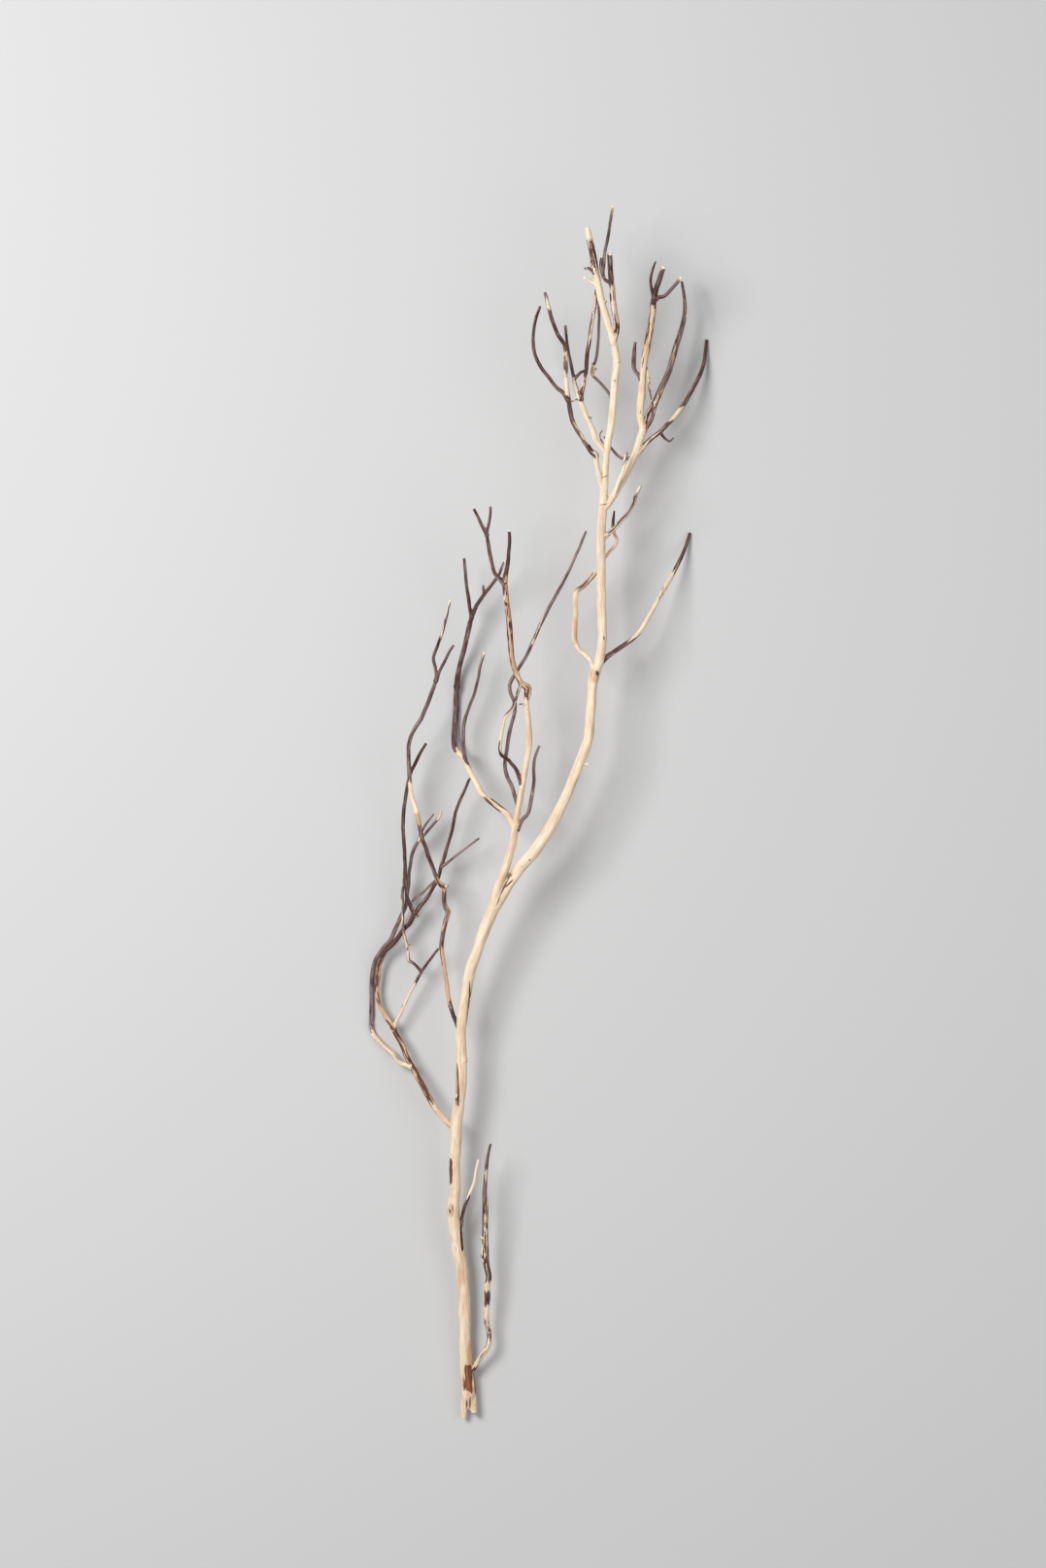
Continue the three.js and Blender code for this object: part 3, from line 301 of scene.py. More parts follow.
            (445.9, 913, 25, 1.9), (449.7, 906, 25.5, 1.8), (452.3, 898, 26, 1.8), (454.2, 890.6, 26.5, 1.8),
            (457.4, 881, 27, 1.8), (460.6, 870, 27.8, 1.7), (463.8, 860, 28.5, 1.7), (470.2, 831.7, 31, 1.6),
            (477.8, 814.5, 33.5, 1.5), (483.2, 801, 36, 1.3)),
        "side_twig": (
            (453.8, 892, 26.5, 1.6), (461.2, 887.3, 28, 1.2), (470, 879.8, 30, 1.2), (480, 872, 32, 1.1),
            (493.2, 862.4, 35, 1)),
        "dim_twig": (
            (450.2, 905, 25.5, 1.6), (446.5, 908, 23.5, 1.4), (441.5, 912.3, 21, 1.3),
            (434.4, 918.7, 17, 1.3), (426.8, 924.4, 13.5, 1.2), (424, 928, 12, 1.1)),
    },
    "cross_twig": {
        "main": (
            (403.9, 1061, 13.2, 2.1), (407.5, 1052, 15, 1.8), (412.1, 1043, 16.5, 1.6),
            (419.1, 1027.7, 18.5, 1.6), (427.5, 1012, 20.5, 1.5), (433.8, 1000, 22, 1.5), (443, 987, 24, 1.4),
            (451.2, 976.2, 26, 1.2)),
        "hook": (
            (434.2, 1000.5, 22, 1.6), (430, 996, 22.3, 1.4), (425.2, 991.4, 22.6, 1.4), (421, 988.6, 23, 1.7),
            (420, 980, 23.8, 1.4), (418.5, 972, 24.4, 1.4), (416.1, 963.7, 24.8, 1.4),
            (414.7, 954, 24.4, 1.4), (414.7, 943, 22.8, 1.4), (414.5, 932, 20.8, 1.4),
            (413.7, 922, 19.2, 1.7), (415, 911, 18.2, 1.3), (415.5, 903.4, 17.5, 1.1)),
    },
    "crown_leader": {
        "main": (
            (620.8, 522, 58, 4.5), (621, 518, 58.2, 4.5), (622.2, 503, 59, 3.9), (623.3, 481.5, 60.5, 3.6),
            (624.5, 464, 62, 3.6), (628.5, 440, 64.5, 3.8), (631, 418, 67, 3.8), (632.9, 393, 70, 3.8),
            (634.8, 370, 73, 3.8), (631, 349, 76, 3.7), (624, 326, 79.5, 3.5), (619.8, 311.6, 82, 3.5),
            (616.7, 298, 84.5, 3.5), (613.7, 281, 87.5, 3.4), (610.9, 266, 90.5, 3.4),
            (608.7, 255, 92.5, 3.3), (606.4, 244.6, 94.5, 3.1), (604.7, 235, 96.2, 2.6)),
        "white_stub": ((615, 293.5, 85, 2.1), (607, 289, 87, 1.7), (601, 285.6, 88.5, 1.4)),
        "curl": ((612.6, 282, 88, 1.7), (607, 277.5, 90, 1.2), (602, 277.6, 91.5, 0.8)),
        "thorn": ((620, 312, 82, 1.7), (624.2, 309.8, 83, 1)),
        "dim_twig": (
            (631, 414, 67, 1.9), (628, 406.5, 64.5, 1.5), (622.8, 399, 62.8, 1.4), (616.5, 391.5, 62, 1.4),
            (609.8, 384.5, 61.5, 1.6), (609.8, 378.5, 61, 1.5), (613.4, 370, 60.2, 1.4),
            (615.3, 358.8, 59, 1.4), (616.3, 341.6, 57.5, 1.4), (616.8, 325, 56, 1.3),
            (616, 308.4, 54.5, 1.2)),
    },
    "crown_twin_twig": {
        "main": (
            (630.5, 354, 75.5, 3.1), (632.9, 347, 77.2, 2.9), (634.6, 337.5, 79, 2.9), (633.2, 325, 82, 2.9),
            (631, 311.6, 85.5, 2.8), (630.1, 298.2, 88.5, 2.7), (628.8, 284.8, 91.5, 2.7),
            (627.9, 271.4, 94.5, 2.6), (627.4, 261.5, 96.8, 2.3)),
        "tall_tip": (
            (629.5, 292, 90.2, 2), (625.5, 290, 92.5, 1.7), (622.3, 288, 94, 1.6), (620.8, 282, 96, 1.6),
            (621.3, 272, 98.5, 1.6), (622.7, 260, 101.5, 1.6), (624.5, 251, 104, 1.5), (627.3, 235, 108, 1.5),
            (629.2, 222, 111, 1.4), (631.1, 213, 113.3, 1.2)),
        "stub": (
            (621.3, 286, 95, 1.7), (618.8, 278, 94.8, 1.5), (618.3, 271, 94.8, 1.5),
            (619.5, 264.6, 95.2, 1.3)),
    },
    "crown_left_twig": {
        "main": (
            (622.5, 508, 58.8, 3.1), (620, 500, 60, 2.8), (616.6, 487, 63, 2.6), (613.9, 475.7, 65.5, 2.6),
            (613, 468, 67.5, 3), (609.4, 464.8, 68.5, 2.6), (605, 458.4, 70, 2.3), (599.2, 450.2, 72, 2.3),
            (593.5, 441.2, 74, 2.3), (589, 431, 76.5, 2.3), (586.5, 418.3, 79, 2.3),
            (584.6, 407.4, 81.5, 2.4), (583.3, 395.9, 84, 2.3), (582.7, 380, 87.5, 2.2), (582, 368, 90, 2.2),
            (581, 356, 92.5, 2), (574.5, 345, 95.5, 1.9), (567.8, 328, 99.5, 1.9), (564.4, 315, 102.5, 1.9),
            (561.1, 302, 105.3, 1.4)),
        "outer_fork": (
            (585.3, 412, 80.5, 2.3), (579.5, 404, 79, 1.9), (573.6, 399, 77.5, 1.8),
            (565.9, 389.4, 74.5, 1.8), (557.3, 378, 71, 1.8), (551.6, 366.5, 67.5, 1.7),
            (549.1, 355, 64.5, 1.7), (549.1, 343.5, 61.5, 1.6), (551.6, 328, 58, 1.6),
            (556.2, 314.4, 55, 1.3)),
    },
    "crown_middle_twig": {
        "main": (
            (624.6, 466, 61.5, 3.2), (618.4, 459, 64, 2.9), (613.9, 453.3, 66, 2.8), (611.4, 445, 68, 2.8),
            (608.2, 437.4, 69.5, 2.7), (603.7, 428.5, 71, 2.7), (600.5, 419.5, 72.5, 2.7),
            (596.7, 410.6, 74, 2.6), (593.5, 401, 75.5, 2.3), (590.9, 391.5, 77, 2),
            (589.8, 383.7, 77.5, 1.7), (587, 370.3, 78.5, 1.6), (584.7, 358.8, 79.5, 1.6),
            (583.1, 347, 80.5, 1.5), (582.3, 335, 81.5, 1.3)),
        "dark_fork": (
            (597.5, 412, 73.8, 2.4), (599.4, 400.5, 73, 2.1), (601.8, 391, 72, 2), (603.5, 380, 71.5, 2),
            (604.4, 364.5, 71, 2), (607.1, 349, 70.5, 1.9), (609, 334, 70, 1.8), (611.4, 320.5, 69.5, 1.7),
            (613.2, 307, 69, 1.6), (613.7, 298, 68.5, 1.4)),
        "link": ((591.4, 389.5, 77, 1.5), (597.5, 383.5, 75, 1.3), (603.4, 380.5, 72, 1.4)),
        "thorn": ((603.8, 430, 71, 1.8), (608.8, 429.4, 72, 0.9)),
    },
    "crown_right_limb": {
        "main": (
            (620.6, 524, 58, 4.1), (627.2, 516, 57.8, 3.9), (634.6, 504.7, 57, 3.8), (641.3, 493, 56, 3.7),
            (647.9, 479.8, 55, 3.7), (654.5, 465, 53.8, 3.8), (659.5, 450, 52.5, 4), (662, 441, 52, 4)),
        "hook_twig": (
            (630, 513.5, 57.5, 2.2), (634, 503, 61.5, 1.9), (637.9, 493, 64.5, 1.7),
            (642.1, 481.5, 66.5, 1.7), (643.7, 471.5, 68, 1.6), (645.4, 465, 69, 1.3)),
        "low_twig": (
            (652.5, 470.5, 54, 2.2), (646, 470.8, 52.5, 1.6), (640, 470.6, 51.5, 1.4),
            (634.3, 466, 50.5, 1.3), (629.8, 461, 50, 1.3), (625.5, 454, 50, 1.3), (622.2, 448.5, 50, 1.1)),
    },
    "crown_right_inner": {
        "main": (
            (661.2, 444, 52.2, 3.9), (662, 441, 52, 3.9), (659.5, 430, 52, 3.8), (659, 420, 52.5, 3.7),
            (660.6, 406.6, 53.5, 3.8), (661.6, 387.5, 56, 3.7), (663.5, 370, 59, 3.7),
            (666.4, 353, 62.5, 3.5), (669.8, 336, 66.5, 3.4), (672.1, 318.6, 70.5, 3.2),
            (673.6, 305, 74, 2.8), (675.9, 295.7, 76.5, 2.6), (679.8, 284, 79.5, 2.5),
            (683.2, 274.4, 81.8, 2.2)),
        "inner_tip": (
            (673.4, 306, 74, 2), (670.5, 296, 77.5, 1.4), (669.6, 286, 80.5, 1.3), (672.1, 276.5, 83, 1.2),
            (674.8, 269.4, 85, 0.9)),
        "outer_tip": (
            (673.5, 309, 73, 2.2), (678, 306, 73.5, 1.9), (682.6, 305, 74, 1.7), (688.4, 300.4, 74.5, 1.7),
            (696, 291.8, 75.5, 1.7), (701.6, 285, 76.5, 1.5)),
        "bent_twig": (
            (661.3, 394, 55.5, 2.1), (658, 386.5, 57, 1.7), (653.4, 379.8, 59, 2), (652.6, 372, 61, 2.3),
            (653, 362.6, 63.5, 2), (653.9, 351.6, 66, 1.4)),
    },
    "crown_right_outer": {
        "main": (
            (672.6, 417, 48.8, 2.6), (676, 410, 47, 2.9), (680.7, 399, 45, 3), (688.4, 382, 41.5, 2.9),
            (694.1, 362.6, 38, 2.8), (699.9, 343.5, 34.5, 2.5), (704.6, 326.3, 31, 2.4), (705.6, 315, 29, 2),
            (704.6, 303, 27, 1.6), (703.1, 292, 25, 1.4), (702.4, 287.6, 24, 1.1)),
        "left_strand": (
            (661, 444, 51.5, 2.8), (664.5, 432, 50.8, 2), (668.8, 421, 49.5, 2), (674.4, 412, 47.8, 2.2)),
        "right_strand": (
            (661.5, 444, 52, 2.8), (669.6, 433, 52, 1.8), (673.4, 422, 50.5, 1.8), (676, 409, 47.6, 2.2)),
    },
    "crown_side_twig": {
        "main": (
            (656, 467, 53.5, 2.9), (661.5, 459.5, 52, 2.4), (669.2, 451.6, 48.5, 2.2), (678.8, 444, 44, 2.2),
            (688.4, 434.4, 39, 2.2), (697.9, 424, 33.5, 2.3), (705.6, 412.4, 27.5, 2.2),
            (713.2, 399, 20.5, 2.1), (720.9, 384.6, 13, 2), (724.7, 374, 8, 1.9), (727, 360.7, 3.2, 1.7),
            (728.4, 347, 1.1, 1.4)),
        "spur": (
            (679.5, 443.5, 43.8, 1.6), (684.5, 449.5, 42, 1.1), (689.3, 453, 42, 1),
            (693.8, 449.2, 42.5, 0.8)),
    },
    "leader_short_twig": {
        "main": (
            (619.5, 554.5, 59, 2.9), (625, 549.8, 60, 2.2), (628, 547, 60.8, 2), (633.8, 542, 62.5, 2),
            (639.6, 535.3, 64.5, 1.9), (646.2, 528, 67, 1.9), (651.2, 519.6, 69.5, 1.8),
            (655.3, 508, 72.5, 1.7), (659.3, 499.6, 74.8, 1.4)),
    },
    "leader_loop_twig": {
        "main": (
            (612.5, 695, 66, 3.2), (611, 688, 66, 2.8), (609, 681, 66, 2.6), (604.8, 675.5, 65.5, 2.6),
            (597.3, 668.8, 64.5, 2.5), (592.3, 659, 63, 2.6), (591.5, 647, 61, 2.7), (592.3, 630.7, 58, 2.8),
            (592.3, 615.8, 55, 2.7), (594, 607.5, 53, 2.6), (601.5, 601.7, 50.5, 2.5), (608.1, 594, 49, 2.4),
            (614, 586, 48, 2.3), (618.9, 578.5, 47.5, 2), (623.8, 571.8, 47.5, 1.8), (629.6, 565, 48, 1.7),
            (634.6, 558.6, 49, 1.6), (635.4, 554.4, 49.5, 1.5), (633, 548.6, 50, 1.6),
            (631.3, 542.8, 50.5, 1.8), (631.3, 534.5, 51.5, 1.5), (632.5, 525, 52.8, 0.9)),
    },
    "leader_long_twig": {
        "main": (
            (617, 682, 65.8, 3.1), (624.7, 675.5, 64, 2.5), (631.3, 670.5, 61.5, 2.3),
            (642.9, 663, 56.5, 2.2), (654.5, 654, 51, 2.2), (664.5, 640.6, 44.5, 2.2),
            (672.8, 625.7, 37.5, 2.2), (681, 610.8, 30, 2.2), (689.3, 596, 22.5, 2.2), (696, 584, 16, 2.1),
            (701.8, 572.7, 10.5, 1.9), (705.9, 562.7, 6.2, 1.7), (709.2, 552.8, 2.8, 1.5),
            (710.8, 546.6, 1, 1.3)),
    },
}

# Nodes whose main limb carries another one on, so that its grain runs through.
CARRIES_ON = {
    "right_leader": "lower_stem",
    "crown_leader": "right_leader",
    "outer_left_tip": "outer_left_limb",
    "middle_left_tip": "middle_left_limb",
    "inner_loop": "lower_left_limb",
    "crown_right_inner": "crown_right_limb",
}

SLOTS = {
    "lower_stem": "bare_wood",
    "right_leader": "bare_wood",
    "left_leader": "bare_wood",
    "outer_left_limb": "bare_wood",
    "crown_leader": "bare_wood",
    "crown_right_limb": "bare_wood",
    "leader_loop_twig": "bare_wood",
    "trailing_twig": "bark_twig",
    "outer_left_tip": "bark_twig",
    "middle_left_tip": "bark_twig",
    "upright_twig": "bark_twig",
    "diagonal_twig": "bark_twig",
    "crown_middle_twig": "bark_twig",
    "crown_right_outer": "bark_twig",
    "crown_side_twig": "bark_twig",
}
WORN_SLOT = "weathered_twig"
FINISHES = {
    "bare_wood": "dry_bare_wood", "weathered_twig": "half_barked_twig", "bark_twig": "dark_barked_twig"}

# How each limb looks: wood from cream 0 to tan 1, bark from red brown 0 to grey 1 and rusty below 0, how pale
# its broken tip is, and how much bark covers it, as (down, cover) pairs along it.
BARKED = ((0, 0.9),)
LOOKS = {
    "lower_stem.main": (0.3, -0.3, 0, (
        (935, 0), (1070, 0.03), (1095, 0.06), (1140, 0.06), (1150, 0), (1190, 0.02), (1222, 0.05), (1230, 0),
        (1262, 0.03), (1290, 0.03), (1300, 0), (1380, 0), (1448, 0.1))),
    "lower_stem.left_prong": (0.35, -0.3, 0.5, ((0, 0.06),)),
    "lower_stem.right_prong": (0.3, -0.3, 0.5, ((0, 0.12),)),
    "lower_stem.splinter": (0.5, -0.3, 0, ((0, 0.2),)),
    "lower_stem.left_knob": (0.6, -0.3, 0, ((0, 0.1),)),
    "lower_stem.right_knob": (0.6, -0.3, 0, ((0, 0.1),)),
    "lower_stem.pale_twig": (0.0, 0.1, 0.6, ((0, 0.05), (1226, 0.1), (1236, 0.85))),
    "butt_side_twig.main": (0.3, 0.15, 0, (
        (1177, 0.85), (1203, 0.85), (1207, 0.35), (1215, 0.8), (1240, 0.72), (1262, 0.75), (1280, 0.55),
        (1300, 0.68), (1318, 0.75), (1323, 0.2), (1328, 0.25), (1332, 0.92), (1343, 0.85), (1347, 0.1),
        (1356, 0.1), (1362, 0.4), (1376, 0.45), (1384, 0.25), (1405, 0.3), (1412, 0.75))),
    "butt_side_twig.spur": (0.3, 0.3, 0, ((0, 0.5),)),
    "right_leader.main": (0.25, 0.1, 0, (
        (518, 0.03), (640, 0.01), (690, 0.12), (700, 0.1), (715, 0), (935, 0.01))),
    "right_leader.stub": (0.2, 0.1, 1, ((0, 0.1),)),
    "left_leader.main": (0.4, 0.0, 1, (
        (545, 0.9), (586, 0.88), (600, 0.62), (640, 0.52), (680, 0.5), (692, 0.3), (700, 0.5), (714, 0.45),
        (722, 0.06), (935, 0.02))),
    "left_leader.bypass": (0.25, 0.15, 0, (
        (700, 0.3), (718, 0.6), (728, 0.6), (735, 0.14), (768, 0.2), (778, 0.85), (800, 0.82))),
    "left_leader.grey_twig": (0.5, 0.95, 0, ((0, 0.85),)),
    "left_leader.end_twig": (0.3, 0.15, 0, BARKED),
    "left_leader.end_fork": (0.3, 0.15, 0, BARKED),
    "trailing_twig.main": (0.3, 0.25, 0, (
        (546, 0.92), (622, 0.88), (630, 0.68), (645, 0.66), (652, 0.85), (664, 0.72), (672, 0.76),
        (680, 0.92), (830, 0.88))),
    "outer_left_limb.main": (0.35, 0.15, 0, (
        (700, 0.92), (766, 0.9), (776, 0.2), (800, 0.03), (816, 0.05), (823, 0.55), (832, 0.5), (837, 0.06),
        (850, 0.02))),
    "outer_left_limb.inner_twig": (0.3, 0.15, 1, ((670, 0.6), (690, 0.9), (790, 0.88))),
    "outer_left_tip.main": (0.3, 0.12, 0.5, ((576, 0.6), (590, 0.85), (707, 0.92))),
    "outer_left_tip.side_twig": (0.3, 0.12, 0, ((574, 0.8), (590, 0.9), (640, 0.9))),
    "outer_left_tip.spur": (0.3, 0.12, 0, BARKED),
    "middle_left_limb.main": (1.1, 0.12, 0, (
        (832, 0.1), (842, 0.15), (850, 0.8), (895, 0.86), (905, 0.55), (915, 0.6), (925, 0.72), (945, 0.6),
        (972, 0.72), (980, 0.3), (1022, 0.24), (1034, 0.62), (1042, 0.85), (1060, 0.92))),
    "middle_left_limb.spur": (0.5, 0.5, 0, ((0, 0.5),)),
    "middle_left_tip.main": (0.1, 0.2, 0.6, (
        (617, 0.35), (640, 0.62), (660, 0.85), (800, 0.88), (808, 0.14), (836, 0.14))),
    "middle_left_tip.fork": (0.3, 0.12, 0, BARKED),
    "lower_left_limb.main": (0.6, -0.25, 0, (
        (1056, 0.78), (1100, 0.72), (1125, 0.6), (1146, 0.42), (1156, 0.2), (1165, 0.1))),
    "inner_loop.main": (1.05, 0.0, 0, (
        (941, 0.92), (970, 0.85), (986, 0.66), (998, 0.6), (1015, 0.6), (1026, 0.34), (1048, 0.28),
        (1060, 0.7))),
    "inner_loop.spur": (0.5, 0.3, 0, ((0, 0.6),)),
    "outer_loop.main": (0.35, 0.3, 0, (
        (834, 0.45), (846, 0.78), (870, 0.88), (905, 0.88), (930, 0.78), (945, 0.85), (1055, 0.88),
        (1066, 0.22), (1098, 0.16))),
    "outer_loop.side_tip": (0.5, 0.4, 0, ((0, 0.6),)),
    "upright_twig.main": (0.3, 0.05, 0, ((0, 0.92),)),
    "diagonal_twig.main": (0.3, 0.08, 0, ((0, 0.92),)),
    "diagonal_twig.side_twig": (0.3, 0.3, 0, ((0, 0.85),)),
    "diagonal_twig.dim_twig": (0.4, 0.95, 0, ((0, 0.85),)),
    "cross_twig.main": (0.3, 0.2, 0, ((976, 0.9), (1008, 0.88), (1018, 0.25), (1060, 0.2))),
    "cross_twig.hook": (0.4, 0.3, 0, (
        (903, 0.85), (920, 0.7), (926, 0.5), (945, 0.55), (956, 0.88), (968, 0.78), (975, 0.35), (988, 0.3),
        (993, 0.85), (1002, 0.88))),
    "crown_leader.main": (0.2, 0.1, 1, (
        (234, 0), (244, 0.15), (250, 0.62), (262, 0.66), (272, 0.6), (282, 0.3), (288, 0), (518, 0))),
    "crown_leader.white_stub": (0.0, 0.1, 1, ((0, 0.05),)),
    "crown_leader.curl": (0.5, 0.2, 0, ((0, 0.5),)),
    "crown_leader.thorn": (0.3, 0.2, 0, ((0, 0.5),)),
    "crown_leader.dim_twig": (0.3, 0.9, 0, ((308, 0.9), (372, 0.88), (376, 0.15), (385, 0.15), (390, 0.85))),
    "crown_twin_twig.main": (0.45, 0.1, 1, (
        (259, 0.2), (264, 0.85), (290, 0.85), (298, 0.5), (325, 0.36), (336, 0.45), (347, 0.25))),
    "crown_twin_twig.tall_tip": (0.2, 0.2, 1, ((212, 0.2), (220, 0.8), (290, 0.8))),
    "crown_twin_twig.stub": (0.3, 0.3, 1, ((0, 0.7),)),
    "crown_left_twig.main": (0.2, 0.12, 0, (
        (300, 0.88), (308, 0.7), (312, 0.42), (317, 0.42), (321, 0.92), (360, 0.88), (364, 0.35), (372, 0.35),
        (376, 0.88), (384, 0.35), (405, 0.35), (410, 0.84), (430, 0.74), (436, 0.42), (456, 0.5), (460, 0.68),
        (469, 0.6), (473, 0.1), (508, 0.08))),
    "crown_left_twig.outer_fork": (0.3, 0.12, 0, BARKED),
    "crown_middle_twig.main": (0.2, 0.15, 0, (
        (334, 0.7), (345, 0.88), (384, 0.8), (392, 0.5), (404, 0.45), (412, 0.14), (440, 0.06), (464, 0))),
    "crown_middle_twig.dark_fork": (0.4, 0.05, 0, (
        (297, 0.8), (308, 0.62), (330, 0.7), (345, 0.72), (355, 0.85), (385, 0.88), (389, 0.3), (396, 0.4),
        (402, 0.8))),
    "crown_middle_twig.link": (0.3, 0.2, 0, ((0, 0.8),)),
    "crown_middle_twig.thorn": (0.3, 0.2, 0, ((0, 0.6),)),
    "crown_right_limb.main": (0.2, 0.1, 0, ((441, 0.05), (524, 0.01))),
    "crown_right_limb.hook_twig": (0.1, 0.6, 0, ((465, 0.7), (475, 0.5), (482, 0.1), (505, 0.05))),
    "crown_right_limb.low_twig": (0.15, 0.85, 0, ((0, 0.75),)),
    "crown_right_inner.main": (0.4, 0.05, 1, (
        (273, 0.4), (280, 0.88), (306, 0.88), (314, 0.6), (335, 0.42), (380, 0.28), (400, 0.18), (441, 0.1))),
    "crown_right_inner.inner_tip": (0.3, 0.2, 0, ((0, 0.88),)),
    "crown_right_inner.outer_tip": (0.1, 0.2, 1, ((284, 0.2), (290, 0.85), (306, 0.88))),
    "crown_right_inner.bent_twig": (0.3, 0.3, 0, ((0, 0.85),)),
    "crown_right_outer.main": (0.5, 0.3, 0, ((287, 0.85), (340, 0.84), (380, 0.78), (417, 0.72))),
    "crown_right_outer.left_strand": (0.5, 0.1, 0, ((0, 0.74),)),
    "crown_right_outer.right_strand": (0.5, 0.2, 0, ((0, 0.7),)),
    "crown_side_twig.main": (0.15, 0.12, 0, (
        (346, 0.9), (416, 0.88), (420, 0.2), (430, 0.2), (434, 0.88), (452, 0.82), (460, 0.45), (466, 0.2))),
    "crown_side_twig.spur": (0.3, 0.3, 0, ((0, 0.85),)),
    "leader_short_twig.main": (0.3, 0.2, 0, ((0, 0.5),)),
    "leader_loop_twig.main": (0.3, 0.1, 0, (
        (520, 0.92), (544, 0.88), (551, 0.14), (574, 0.2), (582, 0.5), (602, 0.5), (610, 0.1), (630, 0.25),
        (640, 0.1), (662, 0.25), (695, 0.02))),
    "leader_long_twig.main": (0.2, 0.15, 0, (
        (546, 0.9), (583, 0.88), (594, 0.3), (655, 0.2), (664, 0.8), (680, 0.8))),
}

# Patches of bark seen from above: (across, down, half width, half length, turn in degrees, strength).
PATCHES = (
    (482.2, 1421, 5.5, 16.5, -2, 1.0), (489, 1422, 1.8, 16, -2, 1.0), (464.3, 1206, 2.1, 15, 0, 0.95),
    (474.9, 1276, 1.5, 13.5, -3, 0.95), (482.4, 1036, 1.2, 22, 6, 0.72),
)

# Stains of tan on bare wood seen from above, in the same order.
STAINS = (
    (484.5, 1396, 4.5, 17, 0, 0.6), (484, 1440, 5, 12, 0, 0.4), (475, 1306, 4, 22, 0, 0.35),
    (464.5, 1246, 4, 7, 0, 0.5), (470.5, 1120, 2.5, 26, 0, 0.45), (482.5, 1040, 2.5, 30, 6, 0.4),
    (521, 905, 5, 14, 30, 0.28), (612.5, 695, 6, 8, 0, 0.5), (526, 650, 5, 62, -4, 0.75),
    (592.5, 648, 3, 15, 0, 0.6), (600, 603, 8, 4.5, -35, 0.7), (541, 704, 7, 8, 0, 0.6),
    (653, 480, 2.5, 22, 25, 0.4), (665, 350, 4, 50, -8, 0.45), (619, 545, 3, 30, 0, 0.25),
)

# Slits, checks and holes, dented in and darkened with painted shade: (across, down, across, down, half width,
# depth).
SLITS = (
    (470.8, 1095, 471.4, 1118, 1.1, 0.9), (471.2, 1111, 472.0, 1138, 1.5, 1.2),
    (474.2, 1262, 475.4, 1287, 0.9, 0.8), (483.6, 1010, 484.0, 1029, 0.8, 0.6),
    (525.6, 898, 522.4, 905, 1.0, 0.6), (522.4, 905, 515.5, 920, 1.1, 0.7),
    (528.4, 905, 519, 913.5, 1.0, 0.6), (515.5, 920, 511.5, 931, 0.7, 0.4),
    (462.4, 1245.5, 463.8, 1249, 1.1, 1.2), (465.4, 1241, 466.4, 1247, 0.6, 0.3),
    (645.6, 470, 641.4, 478, 0.6, 0.4), (648.6, 488, 643.4, 497, 0.55, 0.4),
    (619.6, 491, 626.6, 488.6, 0.5, 0.12), (617.6, 519.4, 626, 517.6, 0.55, 0.2),
    (630.4, 458, 635.4, 457.6, 0.5, 0.1), (636.2, 372.6, 638.4, 372.2, 0.5, 0.15),
    (545.3, 884.6, 546, 885.4, 0.9, 1.0), (614.6, 690.5, 615.6, 694.5, 1.9, 1.1),
    (632.8, 390.6, 633.2, 392.4, 0.8, 0.8), (621.4, 655, 622.4, 658, 0.9, 0.5),
    (480.2, 1443, 479.9, 1452, 0.8, 0.5), (484.2, 1440, 483.6, 1451, 0.8, 0.5),
)

# Swellings: (across, down, radius, height).
SWELLINGS = (
    (464.5, 1247, 5, 0.7), (478.5, 1090, 5, 0.5), (611.8, 694, 7, 0.8), (621.5, 518, 6, 0.5),
    (543, 708, 5, 0.7), (613.3, 468, 5, 0.5), (455, 911, 4, 0.5), (461.2, 938, 3.5, 0.4), (426, 941, 4, 0.5),
    (421, 988, 3, 0.4), (620, 657, 4.5, 0.5), (633, 391, 4, 0.4), (596.5, 409, 4.5, 0.4),
    (705.5, 321, 3, 0.4), (519.8, 598, 4, 0.4), (470.2, 703, 3.5, 0.4), (449, 698, 3.5, 0.4),
    (500.5, 1302, 5, 0.4), (413.7, 922, 2.5, 0.3),
)

